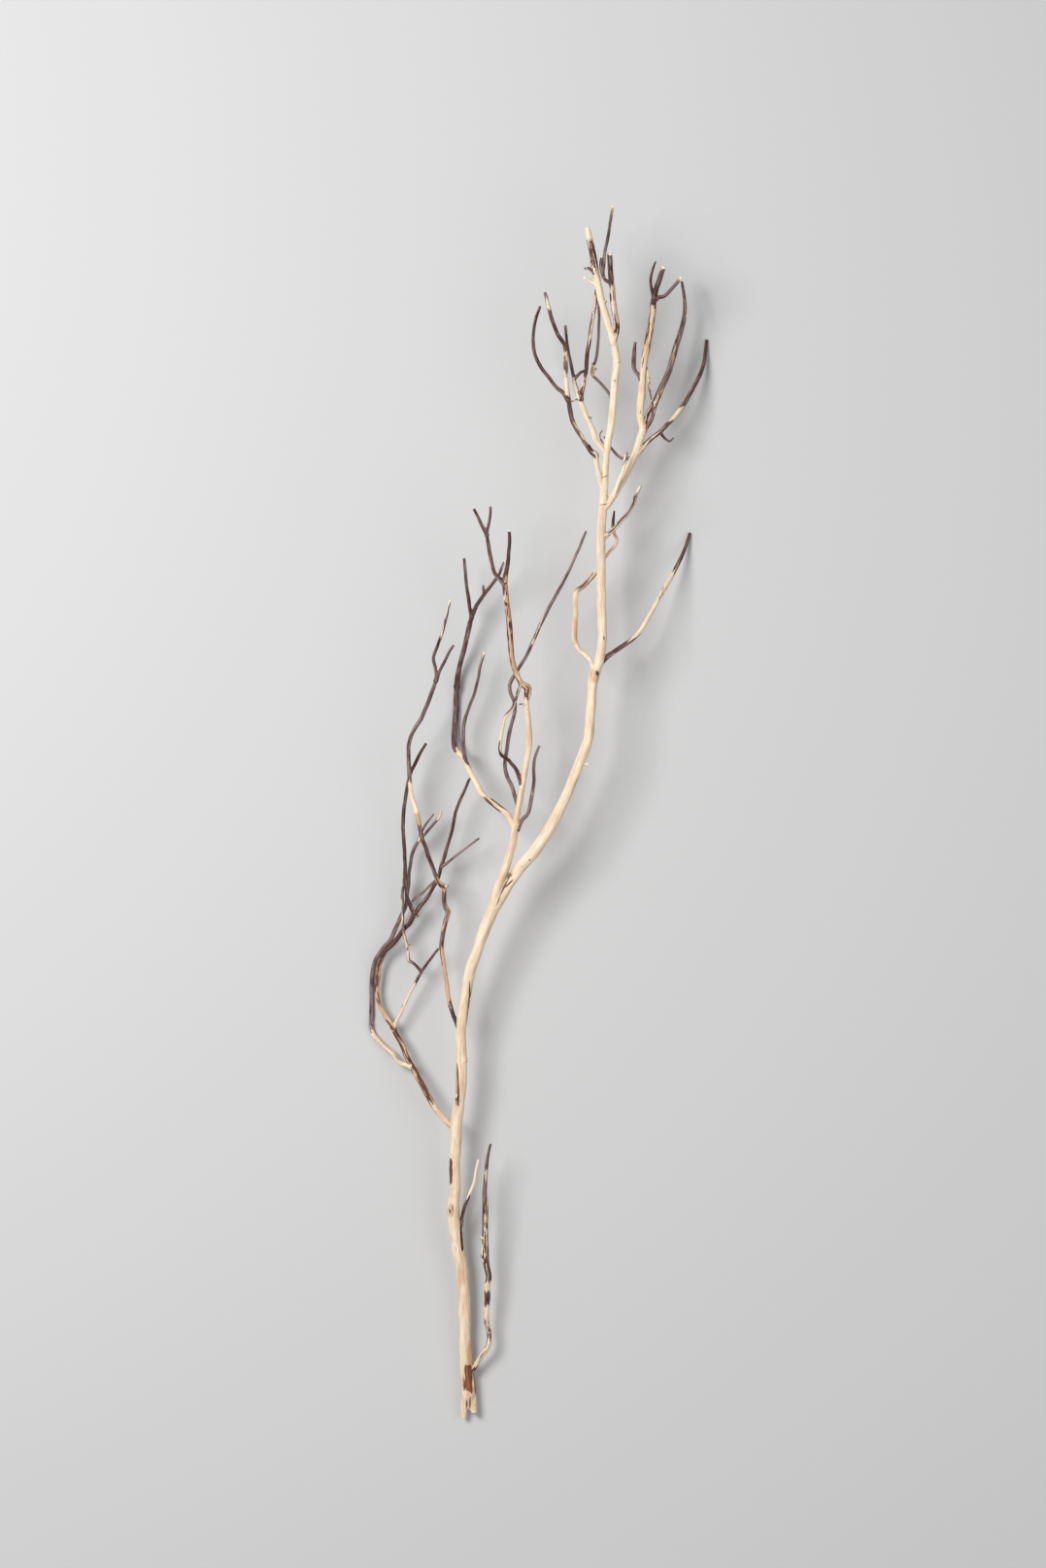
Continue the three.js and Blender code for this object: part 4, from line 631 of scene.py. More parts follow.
# Loose strips of bark and splinters: (across, down, height, half width), root first.
SHREDS = (
    ((610.4, 280, 90.5, 1.3), (607.6, 277, 92.2, 1.3), (604, 275.8, 93.4, 1.1), (601.6, 277, 93.8, 0.8)),
    ((610.5, 277, 91, 1), (608, 272.5, 93, 0.9), (608.6, 269.2, 94.2, 0.7), (610.4, 269.4, 94.8, 0.5)),
    ((665.4, 376, 60.5, 1.1), (667.3, 386, 59.5, 1.3), (668.6, 398, 57.5, 1.2), (670.6, 410, 56.5, 0.8)),
    ((620.5, 442, 61.5, 0.6), (617.6, 446, 61, 0.7), (618.4, 451.5, 60.5, 0.8), (621.5, 456, 60.5, 0.7)),
    ((421.5, 985.5, 23.6, 1), (419.3, 981, 24.8, 1), (419.8, 975, 25.8, 0.9), (422.4, 971.5, 26.4, 0.6)),
    ((611.5, 384.5, 62.6, 1.1), (613.3, 380, 62.9, 1.2), (612.4, 375.5, 62.6, 1), (609.6, 373.4, 62.4, 0.6)),
    ((382.4, 1060, 4.4, 0.9), (380.8, 1056.5, 5.2, 0.8), (381.4, 1052.6, 5.8, 0.7),
     (383.4, 1053.2, 5.6, 0.5)),
    ((470.4, 1126, 40.2, 1), (469.4, 1131, 41.4, 0.9), (469.9, 1136.5, 42.3, 0.5)),
    ((525.4, 906, 64.2, 1), (526, 902, 65.2, 0.8), (526.8, 897.8, 66.2, 0.4)),
    ((498.6, 1303.5, 28.6, 0.9), (496.7, 1297, 30, 1.2), (496.2, 1289, 31.2, 1.1),
     (497.4, 1281.5, 31.8, 0.7)),
    ((424.4, 927.8, 12.2, 0.9), (423.4, 930.6, 12.4, 0.8), (424.8, 932.4, 12.9, 0.5)),
    ((596, 408.5, 76.4, 0.8), (592.2, 412, 76.9, 0.9), (587.4, 413, 77.4, 0.6)),
    ((534.4, 724.5, 90.4, 0.9), (538, 724.2, 89.6, 0.8), (541.4, 724.8, 88.2, 0.8)),
    ((706.4, 325, 33, 0.8), (708, 321.5, 33.8, 0.8), (707.4, 317, 33.6, 0.5)),
)


def float_setting(name, description, default, **limits):
    return bpy.props.FloatProperty(name=name, description=description, default=default, **limits)


def colour_setting(name, description, default):
    return bpy.props.FloatVectorProperty(
        name=name, description=description, default=default, subtype="COLOR", min=0, max=1)


class BranchSizes(bpy.types.PropertyGroup):
    """Sizes of the wood and of its bark."""

    voxel: float_setting(
        "Surface step", "Distance between points of the wood's surface", 0.00072, unit="LENGTH")
    bark_thickness: float_setting(
        "Bark thickness", "How far bark stands above bare wood", 0.0003, unit="LENGTH")
    fibre_height: float_setting(
        "Fibre height", "Height of the ridges along bare wood", 0.00013, unit="LENGTH")
    unevenness: float_setting(
        "Unevenness", "How far a limb's section departs from round, as a share of its radius", 0.085,
        min=0, max=0.4, subtype="FACTOR")
    root_flare: float_setting(
        "Root flare", "How much a twig widens where it leaves its limb, as a share of its radius", 0.38,
        min=0, max=1, subtype="FACTOR")
    shred_thickness: float_setting(
        "Shred thickness", "Thickness of a loose strip of bark, as a share of its width", 0.22,
        min=0.05, max=1, subtype="FACTOR")


class BranchColours(bpy.types.PropertyGroup):
    """Colours of wood and bark."""

    cream: colour_setting("Cream wood", "Palest bare wood", (0.9, 0.755, 0.565))
    tan: colour_setting("Tan wood", "Darkest bare wood", (0.6, 0.37, 0.225))
    # The check colour is also the painted shade in slits and hollows.
    check: colour_setting("Check", "Inside of cracks and holes", (0.05, 0.025, 0.015))
    red_bark: colour_setting("Red bark", "Reddish brown bark", (0.105, 0.036, 0.027))
    dark_bark: colour_setting("Dark bark", "Darkest bark", (0.034, 0.014, 0.012))
    inner_bark: colour_setting("Inner bark", "Rusty inner bark", (0.19, 0.065, 0.03))
    grey_bark: colour_setting("Grey bark", "Weathered grey bark", (0.22, 0.16, 0.15))
    broken: colour_setting("Broken end", "Freshly broken wood at a twig's tip", (0.9, 0.8, 0.62))


class StageSettings(bpy.types.PropertyGroup):
    """The floor, the light and the camera."""

    floor_size: float_setting("Floor size", "Side of the square floor", 30.0, unit="LENGTH")
    floor_colour: colour_setting("Floor colour", "Colour of the plain floor", (0.58, 0.58, 0.58))
    lens: float_setting("Lens", "Focal length in millimetres", 300.0, min=20, max=400)
    key_power: float_setting("Key light", "Power of the main light in watts", 95.0, min=0)
    fill_power: float_setting("Fill light", "Power of the fill light in watts", 16.0, min=0)
    sky: float_setting("Sky", "Strength of the even light from all sides", 0.36, min=0)


class Limb:
    """A limb's centreline in millimetres: samples with direction, radius and length so far."""

    def __init__(self, node, name, points, flare):
        self.node = node
        self.key = f"{node}.{name}"
        self.seed = float(sum(ord(c) * (i + 3) for i, c in enumerate(self.key)) % 997)
        table = np.array(points, float)
        place = np.stack([table[:, 0] - CENTRE_ACROSS, CENTRE_DOWN - table[:, 1], table[:, 2]], axis=1)
        ends = [2 * place[0] - place[1], *place, 2 * place[-1] - place[-2]]
        centres = []
        radii = []
        for i in range(len(place) - 1):
            steps = max(1, round(np.linalg.norm(place[i + 1] - place[i]) / SAMPLE))
            share = np.arange(steps) / steps
            centres.append(curve_through(*ends[i:i + 4], share))
            radii.append(table[i, 3] + (table[i + 1, 3] - table[i, 3]) * share)
        self.centre = np.concatenate([*centres, place[-1:]])
        self.radius = soften(np.concatenate([*radii, table[-1:, 3]]))
        self.along = np.concatenate([[0.0], np.cumsum(np.linalg.norm(np.diff(self.centre, axis=0), axis=1))])
        self.wander()
        if name != "main" or table[0, 3] < FLARE_BELOW:
            self.radius += flare * self.radius[0] * np.exp(-self.along / FLARE_LENGTH)
        steps = np.gradient(self.centre, axis=0)
        self.forward = steps / np.linalg.norm(steps, axis=1)[:, None]
        side = np.cross((0, 0, 1), self.forward)
        self.side = side / np.linalg.norm(side, axis=1)[:, None]
        self.up = np.cross(self.forward, self.side)
        self.grain_start = 0.0
        self.grain_seed = self.seed

    def wander(self):
        """Lets the centreline waver a little between its ends, and its thickness come and go."""
        fade = np.clip(np.minimum(self.along, self.along[-1] - self.along) / STEADY_END, 0, 1)
        noise.seed_set(WAVER_SEED)
        shift = [noise.noise_vector((s * 0.09, self.seed, 0.0)) for s in self.along]
        self.centre += np.array(shift) * (WAVER * fade)[:, None] * (1, 1, 0.5)
        swell = np.array([noise.noise((s * 0.07, 0.0, self.seed)) for s in self.along])
        self.radius *= 1 + THICKENING * swell * fade


def curve_through(before, start, end, after, share):
    """A centripetal curve from start to end, bent towards the points on either side."""
    ties = ((before, start), (start, end), (end, after))
    first, middle, final = (max(np.linalg.norm(b - a) ** 0.5, 1e-4) for a, b in ties)
    leave = ((start - before) / first - (end - before) / (first + middle) + (end - start) / middle) * middle
    reach = ((end - start) / middle - (after - start) / (middle + final) + (after - end) / final) * middle
    u = share[:, None]
    level = u * u * (3 - 2 * u)
    return start * (1 - level) + end * level + leave * (u * (1 - u) ** 2) + reach * (u * u * (u - 1))


def soften(values):
    """Evens out a row of values over five neighbours."""
    padded = np.concatenate([values[:1], values[:1], values, values[-1:], values[-1:]])
    return np.convolve(padded, np.array([1, 2, 3, 2, 1]) / 9, "valid")


def all_limbs():
    flare = bpy.context.scene.branch_sizes.root_flare
    limbs = [Limb(node, name, points, flare)
             for node, parts in LIMBS.items() for name, points in parts.items()]
    by_key = {limb.key: limb for limb in limbs}
    for node, parent in CARRIES_ON.items():
        limb = by_key[f"{node}.main"]
        bearer = by_key[f"{parent}.main"]
        nearest = np.linalg.norm(bearer.centre - limb.centre[0], axis=1).argmin()
        limb.grain_start = bearer.grain_start + bearer.along[nearest]
        limb.grain_seed = bearer.grain_seed
    return limbs


def ring_matrix(limb, i, wide, high, tilt=0.0):
    """Places a unit ring on sample i of a limb, in metres."""
    turn = Matrix((limb.side[i], limb.up[i], limb.forward[i])).transposed().to_4x4()
    size = Matrix.Diagonal((limb.radius[i] * wide * MM, limb.radius[i] * high * MM, MM, 1))
    return Matrix.Translation(Vector(limb.centre[i]) * MM) @ turn @ Matrix.Rotation(tilt, 4, "X") @ size


def raise_limb(bm, limb, sides=RING_SIDES, flatness=1.0, tilt=TIP_TILT):
    """Extrudes a ring along a limb, with an oblique break at its tip."""
    made = bmesh.ops.create_cone(bm, cap_ends=True, segments=sides, radius1=1, radius2=1, depth=0.02)["verts"]
    top = max({f for v in made for f in v.link_faces}, key=lambda f: f.calc_center_median().z)
    last = len(limb.centre) - 1
    slant = tilt * math.sin(limb.seed)
    stops = [*range(0, last, RING_EVERY), last]
    if last - stops[-2] < 2 and len(stops) > 2:
        stops.pop(-2)
    before = ring_matrix(limb, 0, 1, flatness)
    bmesh.ops.transform(bm, matrix=before, verts=made)
    for i in stops[1:]:
        after = ring_matrix(limb, i, 1, flatness, slant if i == last else 0.0)
        top = bmesh.ops.extrude_discrete_faces(bm, faces=[top])["faces"][0]
        bmesh.ops.transform(bm, matrix=after @ before.inverted(), verts=top.verts)
        before = after
    dome = ring_matrix(limb, last, DOME_WIDTH, DOME_WIDTH * flatness, slant)
    dome.translation += before.to_3x3() @ Vector((0, 0, DOME_HEIGHT))
    top = bmesh.ops.extrude_discrete_faces(bm, faces=[top])["faces"][0]
    bmesh.ops.transform(bm, matrix=dome @ before.inverted(), verts=top.verts)


def object_from(bm, name):
    mesh = bpy.data.meshes.new(name)
    bm.to_mesh(mesh)
    bm.free()
    piece = bpy.data.objects.new(name, mesh)
    bpy.context.scene.collection.objects.link(piece)
    return piece


def raise_blanks(nodes):
    """Raises the rough limbs of some nodes. They are fused into one piece of wood later."""
    for limb in all_limbs():
        if limb.node in nodes:
            bm = bmesh.new()
            raise_limb(bm, limb)
            object_from(bm, BLANK + limb.key)


def fuse_blanks():
    """One closed surface over all the blanks, as a fresh mesh."""
    bm = bmesh.new()
    for blank in [o for o in bpy.data.objects if o.name.startswith(BLANK)]:
        bm.from_mesh(blank.data)
        bpy.data.objects.remove(blank)
    rough = object_from(bm, "rough_wood")
    remesh = rough.modifiers.new("Fuse", "REMESH")
    remesh.mode = "VOXEL"
    remesh.voxel_size = bpy.context.scene.branch_sizes.voxel
    remesh.adaptivity = 0
    graph = bpy.context.evaluated_depsgraph_get()
    fused = bpy.data.meshes.new_from_object(rough.evaluated_get(graph))
    bpy.data.objects.remove(rough)
    bm = bmesh.new()
    bm.from_mesh(fused)
    for _ in range(2):
        bmesh.ops.smooth_vert(
            bm, verts=bm.verts, factor=0.5, use_axis_x=True, use_axis_y=True, use_axis_z=True)
    bm.to_mesh(fused)
    bm.free()
    return fused


class Surface:
    """Where each point of the fused wood lies on its limbs, in millimetres."""

    def __init__(self, place, limbs):
        count = len(place)
        self.place = place
        self.score = np.full(count, FAR)
        self.second = np.full(count, FAR)
        self.owner = np.zeros(count, int)
        self.along = np.zeros(count)
        self.radius = np.ones(count)
        self.turn = np.zeros((count, 2))
        self.outward = np.zeros((count, 3))
        self.foot = np.zeros((count, 3))
        self.past_end = np.zeros(count)
        for number, limb in enumerate(limbs):
            reach = limb.radius.max() + REACH
            low = limb.centre.min(axis=0) - reach
            high = limb.centre.max(axis=0) + reach
            near = np.flatnonzero(np.all((place > low) & (place < high), axis=1))
            for part in np.array_split(near, 1 + len(near) * len(limb.centre) // MOST_PAIRS):
                self.measure(part, number, limb)

    def measure(self, part, number, limb):
        """Gives the points that are nearer to this limb than to those before it their place on it."""
        at = self.place[part]
        spread = (at ** 2).sum(1)[:, None] - 2 * at @ limb.centre.T + (limb.centre ** 2).sum(1)[None]
        nearest = spread.argmin(axis=1)
        offset = at - limb.centre[nearest]
        ahead = (offset * limb.forward[nearest]).sum(1)
        last = len(limb.centre) - 1
        past = np.where((nearest == last) & (ahead > 0), ahead, 0.0)
        past += np.where((nearest == 0) & (ahead < 0), -ahead, 0)
        foot = limb.centre[nearest] + limb.forward[nearest] * ahead[:, None]
        radial = at - foot
        width = np.maximum(np.linalg.norm(radial, axis=1), 1e-6)
        along = limb.along[nearest] + ahead
        radius = np.interp(along, limb.along, limb.radius)
        score = np.hypot(np.maximum(width - radius, 0), past) + np.minimum(width - radius, 0)
        better = score < self.score[part]
        self.second[part] = np.where(better, self.score[part], np.minimum(self.second[part], score))
        outward = radial / width[:, None]
        turn = np.stack([(outward * limb.side[nearest]).sum(1), (outward * limb.up[nearest]).sum(1)], axis=1)
        won = part[better]
        self.owner[won] = number
        found = {"score": score, "along": along, "radius": radius, "foot": foot, "outward": outward,
                 "turn": turn, "past_end": past}
        for name, values in found.items():
            getattr(self, name)[won] = values[better]


def rise(low, high, value):
    """A smooth step from 0 at low to 1 at high."""
    share = np.clip((value - low) / (high - low), 0, 1)
    return share * share * (3 - 2 * share)


def field(points):
    """Smooth noise at each point, from about -1 to 1."""
    return np.array([noise.noise(p) for p in points.tolist()]) * 1.6


def patch_strength(spots, normal, patches):
    """How strongly patches that show from above lie on each point."""
    strength = np.zeros(len(spots))
    for across, down, half_width, half_length, turn, amount in patches:
        angle = math.radians(turn)
        offset = spots - (across, down)
        wide = offset[:, 0] * math.cos(angle) + offset[:, 1] * math.sin(angle)
        long = offset[:, 1] * math.cos(angle) - offset[:, 0] * math.sin(angle)
        inside = 1.15 - (np.abs(wide / half_width) ** 2.5 + np.abs(long / half_length) ** 4)
        strength = np.maximum(strength, np.clip(inside, 0, 1) * amount)
    return strength * rise(-0.35, 0.05, normal[:, 2])


def slit_depth(spots, normal):
    """Depth of the slits at each point in millimetres, and how strongly painted shade darkens them there."""
    depth = np.zeros(len(spots))
    dark = np.zeros(len(spots))
    for x0, y0, x1, y1, half_width, deep in SLITS:
        start = np.array((x0, y0))
        line = np.array((x1 - x0, y1 - y0))
        share = np.clip(((spots - start) @ line) / (line @ line), 0, 1)
        away = np.linalg.norm(spots - start - share[:, None] * line, axis=1)
        taper = half_width * (0.35 + 0.65 * np.sin(np.pi * np.clip(share, 0.06, 0.94)))
        mask = (1 - rise(0.5, 1.25, away / taper)) * rise(-0.2, 0.1, normal[:, 2])
        depth = np.maximum(depth, mask * deep)
        dark = np.maximum(dark, mask)
    return depth, dark


def swelling_height(spots):
    height = np.zeros(len(spots))
    for across, down, radius, high in SWELLINGS:
        away = np.linalg.norm(spots - (across, down), axis=1) / radius
        height += high * np.exp(-2.5 * away ** 2)
    return height


def neighbour_mean(mesh, values):
    """The mean of each point's neighbours."""
    pairs = np.zeros(len(mesh.edges) * 2, np.int32)
    mesh.edges.foreach_get("vertices", pairs)
    first, second = pairs[0::2], pairs[1::2]
    total = np.zeros_like(values)
    for axis in range(values.shape[1]):
        total[:, axis] = np.bincount(first, values[second, axis], len(values))
        total[:, axis] += np.bincount(second, values[first, axis], len(values))
    return total / np.bincount(pairs, minlength=len(values))[:, None]


def bark_amount(surface, limbs, spots, normal, grain):
    """How far each point is inside bark: over a half it is covered. Also its wood's and bark's tone."""
    cover, wood, bark, broken = np.zeros((4, len(spots)))
    for number, limb in enumerate(limbs):
        mine = surface.owner == number
        wood[mine], bark[mine], pale_tip, pairs = LOOKS[limb.key]
        cover[mine] = np.interp(spots[mine, 1], *zip(*pairs))
        left = limb.along[-1] - surface.along[mine] - surface.past_end[mine]
        broken[mine] = pale_tip * (1 - rise(0.6, 2.4, left + 0.8 * surface.turn[mine, 0]))
    patches = patch_strength(spots, normal, PATCHES)
    cover = np.maximum(cover, patches)
    streaks = field(grain * STREAK_GRAIN)
    fine = field(grain * CRUMB_GRAIN + 40)
    ragged = 0.5 + RAGGEDNESS * np.tanh(1.1 * streaks + 0.7 * fine)
    # Bark worn off the tops of half covered limbs and kept on their sides: partly real wear, partly painted
    # shade that darkens the sides with bark.
    rubbed_and_shaded = RUBBED_TOP_SHADED_SIDES * (0.45 - normal[:, 2]) * np.sin(np.pi * np.clip(cover, 0, 1))
    amount = 0.5 + (cover + rubbed_and_shaded - ragged) * EDGE_CONTRAST - 0.9 * broken
    wood += patch_strength(spots, normal, STAINS)
    bark += 0.2 * fine - 0.5 * patches * (spots[:, 1] > RUSTY_FROM)
    return np.clip(amount, 0, 1), wood + 0.18 * streaks, bark, broken


def vertex_vectors(mesh, name):
    values = np.zeros(len(mesh.vertices) * 3)
    mesh.vertices.foreach_get(name, values)
    return values.reshape(-1, 3)


def store(mesh, name, values):
    kind, prop = ("FLOAT", "value") if values.ndim == 1 else ("FLOAT_VECTOR", "vector")
    layer = mesh.attributes.new(name, kind, "POINT")
    layer.data.foreach_set(prop, np.ascontiguousarray(values, np.float32).ravel())


def weather(mesh, limbs):
    """Shapes the fused surface into wood with fibres, bark, knots and checks, and stores how it looks, with
    painted shade in its hollows and slits.
    """
    sizes = bpy.context.scene.branch_sizes
    place = vertex_vectors(mesh, "co") / MM
    normal = vertex_vectors(mesh, "normal")
    surface = Surface(place, limbs)
    seeds = np.array([limb.grain_seed for limb in limbs])[surface.owner]
    starts = np.array([limb.grain_start for limb in limbs])[surface.owner]
    round_about = surface.turn * surface.radius[:, None]
    grain = np.column_stack([round_about + (seeds * 7.3)[:, None], surface.along + starts])
    spots = np.stack([place[:, 0] + CENTRE_ACROSS, CENTRE_DOWN - place[:, 1]], axis=1)

    uneven = field(np.column_stack([surface.turn * 0.8 + seeds[:, None], grain[:, 2] * 0.045]))
    target = surface.radius * (1 + sizes.unevenness * uneven)
    on_limb = surface.foot + surface.outward * target[:, None]
    free = rise(0.8, 3.5, surface.second) * (surface.past_end < 0.05)
    free *= np.abs(np.linalg.norm(place - surface.foot, axis=1) - surface.radius) < 1.2
    place += (on_limb - place) * free[:, None]

    amount, wood, bark, broken = bark_amount(surface, limbs, spots, normal, grain)
    covered = rise(0.44, 0.56, amount)
    ridges = field(grain * FIBRE_GRAIN + 11) * 0.5 + field(grain * RIDGE_GRAIN + 71) * 0.5
    rough = field(grain * ROUGH_GRAIN + 23)
    slits, dark = slit_depth(spots, normal)
    thick = np.clip(surface.radius / 4, 0.35, 1.2)
    height = (1 - covered) * ridges * sizes.fibre_height / MM * thick
    height += covered * (sizes.bark_thickness / MM) * (0.8 + 0.45 * rough) * np.clip(thick, 0.4, 1)
    height += swelling_height(spots) - slits
    place += normal * height[:, None]

    # How hollow the surface is at each point, for the painted shade in its hollows.
    hollow = ((neighbour_mean(mesh, place) - place) * normal).sum(1)
    hollow = neighbour_mean(mesh, neighbour_mean(mesh, hollow[:, None]))[:, 0]
    low, high = (np.array(corner) / MM for corner in CAD_BOX)
    place = np.clip(place, low + BOX_MARGIN, high - BOX_MARGIN)
    mesh.vertices.foreach_set("co", (place * MM).ravel())
    mesh.update()

    store(mesh, "bark", amount)
    store(mesh, "grain", grain * GRAIN_SCALE)
    store(mesh, "tones", np.column_stack([wood, bark, broken]))
    # Painted shade: slits and hollows are darkened towards the check colour.
    store(mesh, "dirt", np.clip(dark + np.clip(hollow * 7, 0, 0.8), 0, 1))
    store(mesh, "fused_normal", vertex_vectors(mesh, "normal"))
    return surface


def face_nodes(mesh, surface, limbs, names):
    """The node that each face belongs to, with every node in one stretch."""
    node_of = np.array([names.index(limb.node) for limb in limbs])[surface.owner]
    bm = bmesh.new()
    bm.from_mesh(mesh)
    bm.faces.ensure_lookup_table()
    labels = [0] * len(bm.faces)
    for face in bm.faces:
        votes = [node_of[v.index] for v in face.verts]
        labels[face.index] = max(votes, key=votes.count)

    def touching(index):
        return (other.index for edge in bm.faces[index].edges for other in edge.link_faces)

    stretches = []
    seen = [False] * len(labels)
    for start in range(len(labels)):
        if seen[start]:
            continue
        seen[start] = True
        stretch = [start]
        for index in stretch:
            for other in touching(index):
                if not seen[other] and labels[other] == labels[start]:
                    seen[other] = True
                    stretch.append(other)
        stretches.append(stretch)
    largest = {}
    for stretch in stretches:
        label = labels[stretch[0]]
        if len(stretch) > len(largest.get(label, ())):
            largest[label] = stretch
    for stretch in sorted(stretches, key=len):
        label = labels[stretch[0]]
        if stretch is largest[label]:
            continue
        around = [labels[other] for index in stretch for other in touching(index) if labels[other] != label]
        if around:
            taken = max(around, key=around.count)
            for index in stretch:
                labels[index] = taken
    bm.free()
    return labels


def close_cuts(bm):
    """Closes a piece where it was parted from its neighbours, just inside the wood."""
    rims = [e for e in bm.edges if e.is_boundary]
    inward = {tuple(v.co): v.normal.copy() for e in rims for v in e.verts}
    made = bmesh.ops.extrude_edge_only(bm, edges=rims)["geom"]
    for vert in (g for g in made if isinstance(g, bmesh.types.BMVert)):
        vert.co -= inward[tuple(vert.co)] * CUT_DEPTH * MM
    edges = [g for g in made if isinstance(g, bmesh.types.BMEdge) and g.is_boundary]
    bmesh.ops.holes_fill(bm, edges=edges, sides=0)
    for edge in rims:
        edge.smooth = False
    loose = [e for e in bm.edges if e.is_boundary]
    if loose:
        bmesh.ops.holes_fill(bm, edges=loose, sides=0)


def keep_fused_shading(mesh):
    """Shades a piece as if it were still one with its neighbours, so that no seam shows."""
    normals = np.zeros(len(mesh.vertices) * 3, np.float32)
    mesh.attributes["fused_normal"].data.foreach_get("vector", normals)
    mesh.attributes.remove(mesh.attributes["fused_normal"])
    mesh.shade_smooth()
    mesh.normals_split_custom_set_from_vertices(normals.reshape(-1, 3).tolist())


def part_nodes(mesh, labels, names):
    """Cuts the fused wood into one closed piece for each node."""
    whole = bmesh.new()
    whole.from_mesh(mesh)
    for number, name in enumerate(names):
        bm = whole.copy()
        bm.faces.ensure_lookup_table()
        others = [face for face, label in zip(bm.faces, labels) if label != number]
        bmesh.ops.delete(bm, geom=others, context="FACES")
        close_cuts(bm)
        piece = object_from(bm, name + "_wood")
        keep_fused_shading(piece.data)
        slot = SLOTS.get(name, WORN_SLOT)
        piece.data.materials.append(bpy.data.materials[FINISHES[slot]])
        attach(piece, "root")
        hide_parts(name)
    whole.free()


def feed(tree, node, inputs):
    """Sets a node's inputs, which are values or (node, output) pairs."""
    for entry, value in inputs.items():
        if isinstance(value, tuple) and isinstance(value[0], bpy.types.Node):
            tree.links.new(value[0].outputs[value[1]], node.inputs[entry])
        else:
            node.inputs[entry].default_value = value


def add_node(tree, kind, place, inputs, **settings):
    node = tree.nodes.new(kind)
    node.location = place
    for name, value in settings.items():
        setattr(node, name, value)
    feed(tree, node, inputs)
    return node


def math_node(tree, operation, place, *values, clamp=False):
    inputs = dict(enumerate(values))
    return add_node(tree, "ShaderNodeMath", place, inputs, operation=operation, use_clamp=clamp), 0


def ramp_node(tree, source, place, *stops):
    """A ramp of greys through (position, value) stops."""
    node = add_node(tree, "ShaderNodeValToRGB", place, {"Fac": source})
    ramp = node.color_ramp
    while len(ramp.elements) < len(stops):
        ramp.elements.new(0.5)
    for element, (position, value) in zip(ramp.elements, stops):
        element.position = position
        element.color = (value, value, value, 1)
    return node, 0


def mix_colours(tree, place, share, first, second, blend="MIX"):
    inputs = {0: share, 6: first, 7: second}
    return add_node(tree, "ShaderNodeMix", place, inputs, data_type="RGBA", blend_type=blend), 2


def grain_noise(tree, grain, row, along, scale, detail, roughness=0.55):
    """Noise in the grain's coordinate, the more drawn out along the limb the smaller its along is."""
    drawn = add_node(
        tree, "ShaderNodeVectorMath", (-900, row), {0: grain, 1: (1, 1, along)}, operation="MULTIPLY")
    inputs = {"Vector": (drawn, 0), "Scale": scale, "Detail": detail, "Roughness": roughness}
    return add_node(tree, "ShaderNodeTexNoise", (-700, row), inputs), 0


def opaque(colour):
    return (*colour, 1)


def new_group(name, numbers, colours, exits):
    """A shader group that takes the grain's coordinate, some numbers and some colours."""
    group = bpy.data.node_groups.new(name, "ShaderNodeTree")
    group.interface.new_socket("Grain", in_out="INPUT", socket_type="NodeSocketVector")
    for kind, entries in (("NodeSocketFloat", numbers), ("NodeSocketColor", colours)):
        for label, default in entries.items():
            group.interface.new_socket(label, in_out="INPUT", socket_type=kind).default_value = default
    for label in exits:
        kind = "NodeSocketColor" if label == "Colour" else "NodeSocketFloat"
        group.interface.new_socket(label, in_out="OUTPUT", socket_type=kind)
    return group, group.nodes.new("NodeGroupInput"), group.nodes.new("NodeGroupOutput")


def dry_wood_group(colours):
    """Bare dry wood: long fibres, blotches, hairline checks."""
    tints = {"Cream": opaque(colours.cream), "Tan": opaque(colours.tan), "Check": opaque(colours.check)}
    group, start, end = new_group("Dry wood", {"Tone": 0.3}, tints, ("Colour", "Height"))
    grain = (start, "Grain")
    fibres = grain_noise(group, grain, 200, 0.06, 14, 4)
    wide = grain_noise(group, grain, 0, 0.12, 3.2, 3)
    blotch = grain_noise(group, grain, -200, 1, 0.9, 2)
    split = grain_noise(group, grain, 500, 0.035, 7.5, 2)
    tone = math_node(group, "MULTIPLY_ADD", (-500, 0), wide, 1.3, (start, "Tone"))
    tone = math_node(group, "MULTIPLY_ADD", (-350, 0), blotch, 0.7, tone)
    tone = math_node(group, "SUBTRACT", (-200, 0), tone, 1.0, clamp=True)
    base = mix_colours(group, (0, 100), tone, (start, "Cream"), (start, "Tan"))
    streak = ramp_node(group, fibres, (-400, 300), (0.28, 0.72), (0.5, 1.0), (0.75, 1.06))
    lined = mix_colours(group, (150, 150), 1.0, base, streak, "MULTIPLY")
    hair = ramp_node(group, split, (-400, 550), (0.0, 0.0), (0.7, 0.0), (0.75, 0.5), (1.0, 0.6))
    checked = mix_colours(group, (300, 150), hair, lined, (start, "Check"))
    low = math_node(group, "MULTIPLY_ADD", (300, -100), hair, -0.8, fibres)
    feed(group, end, {"Colour": checked, "Height": low})
    return group


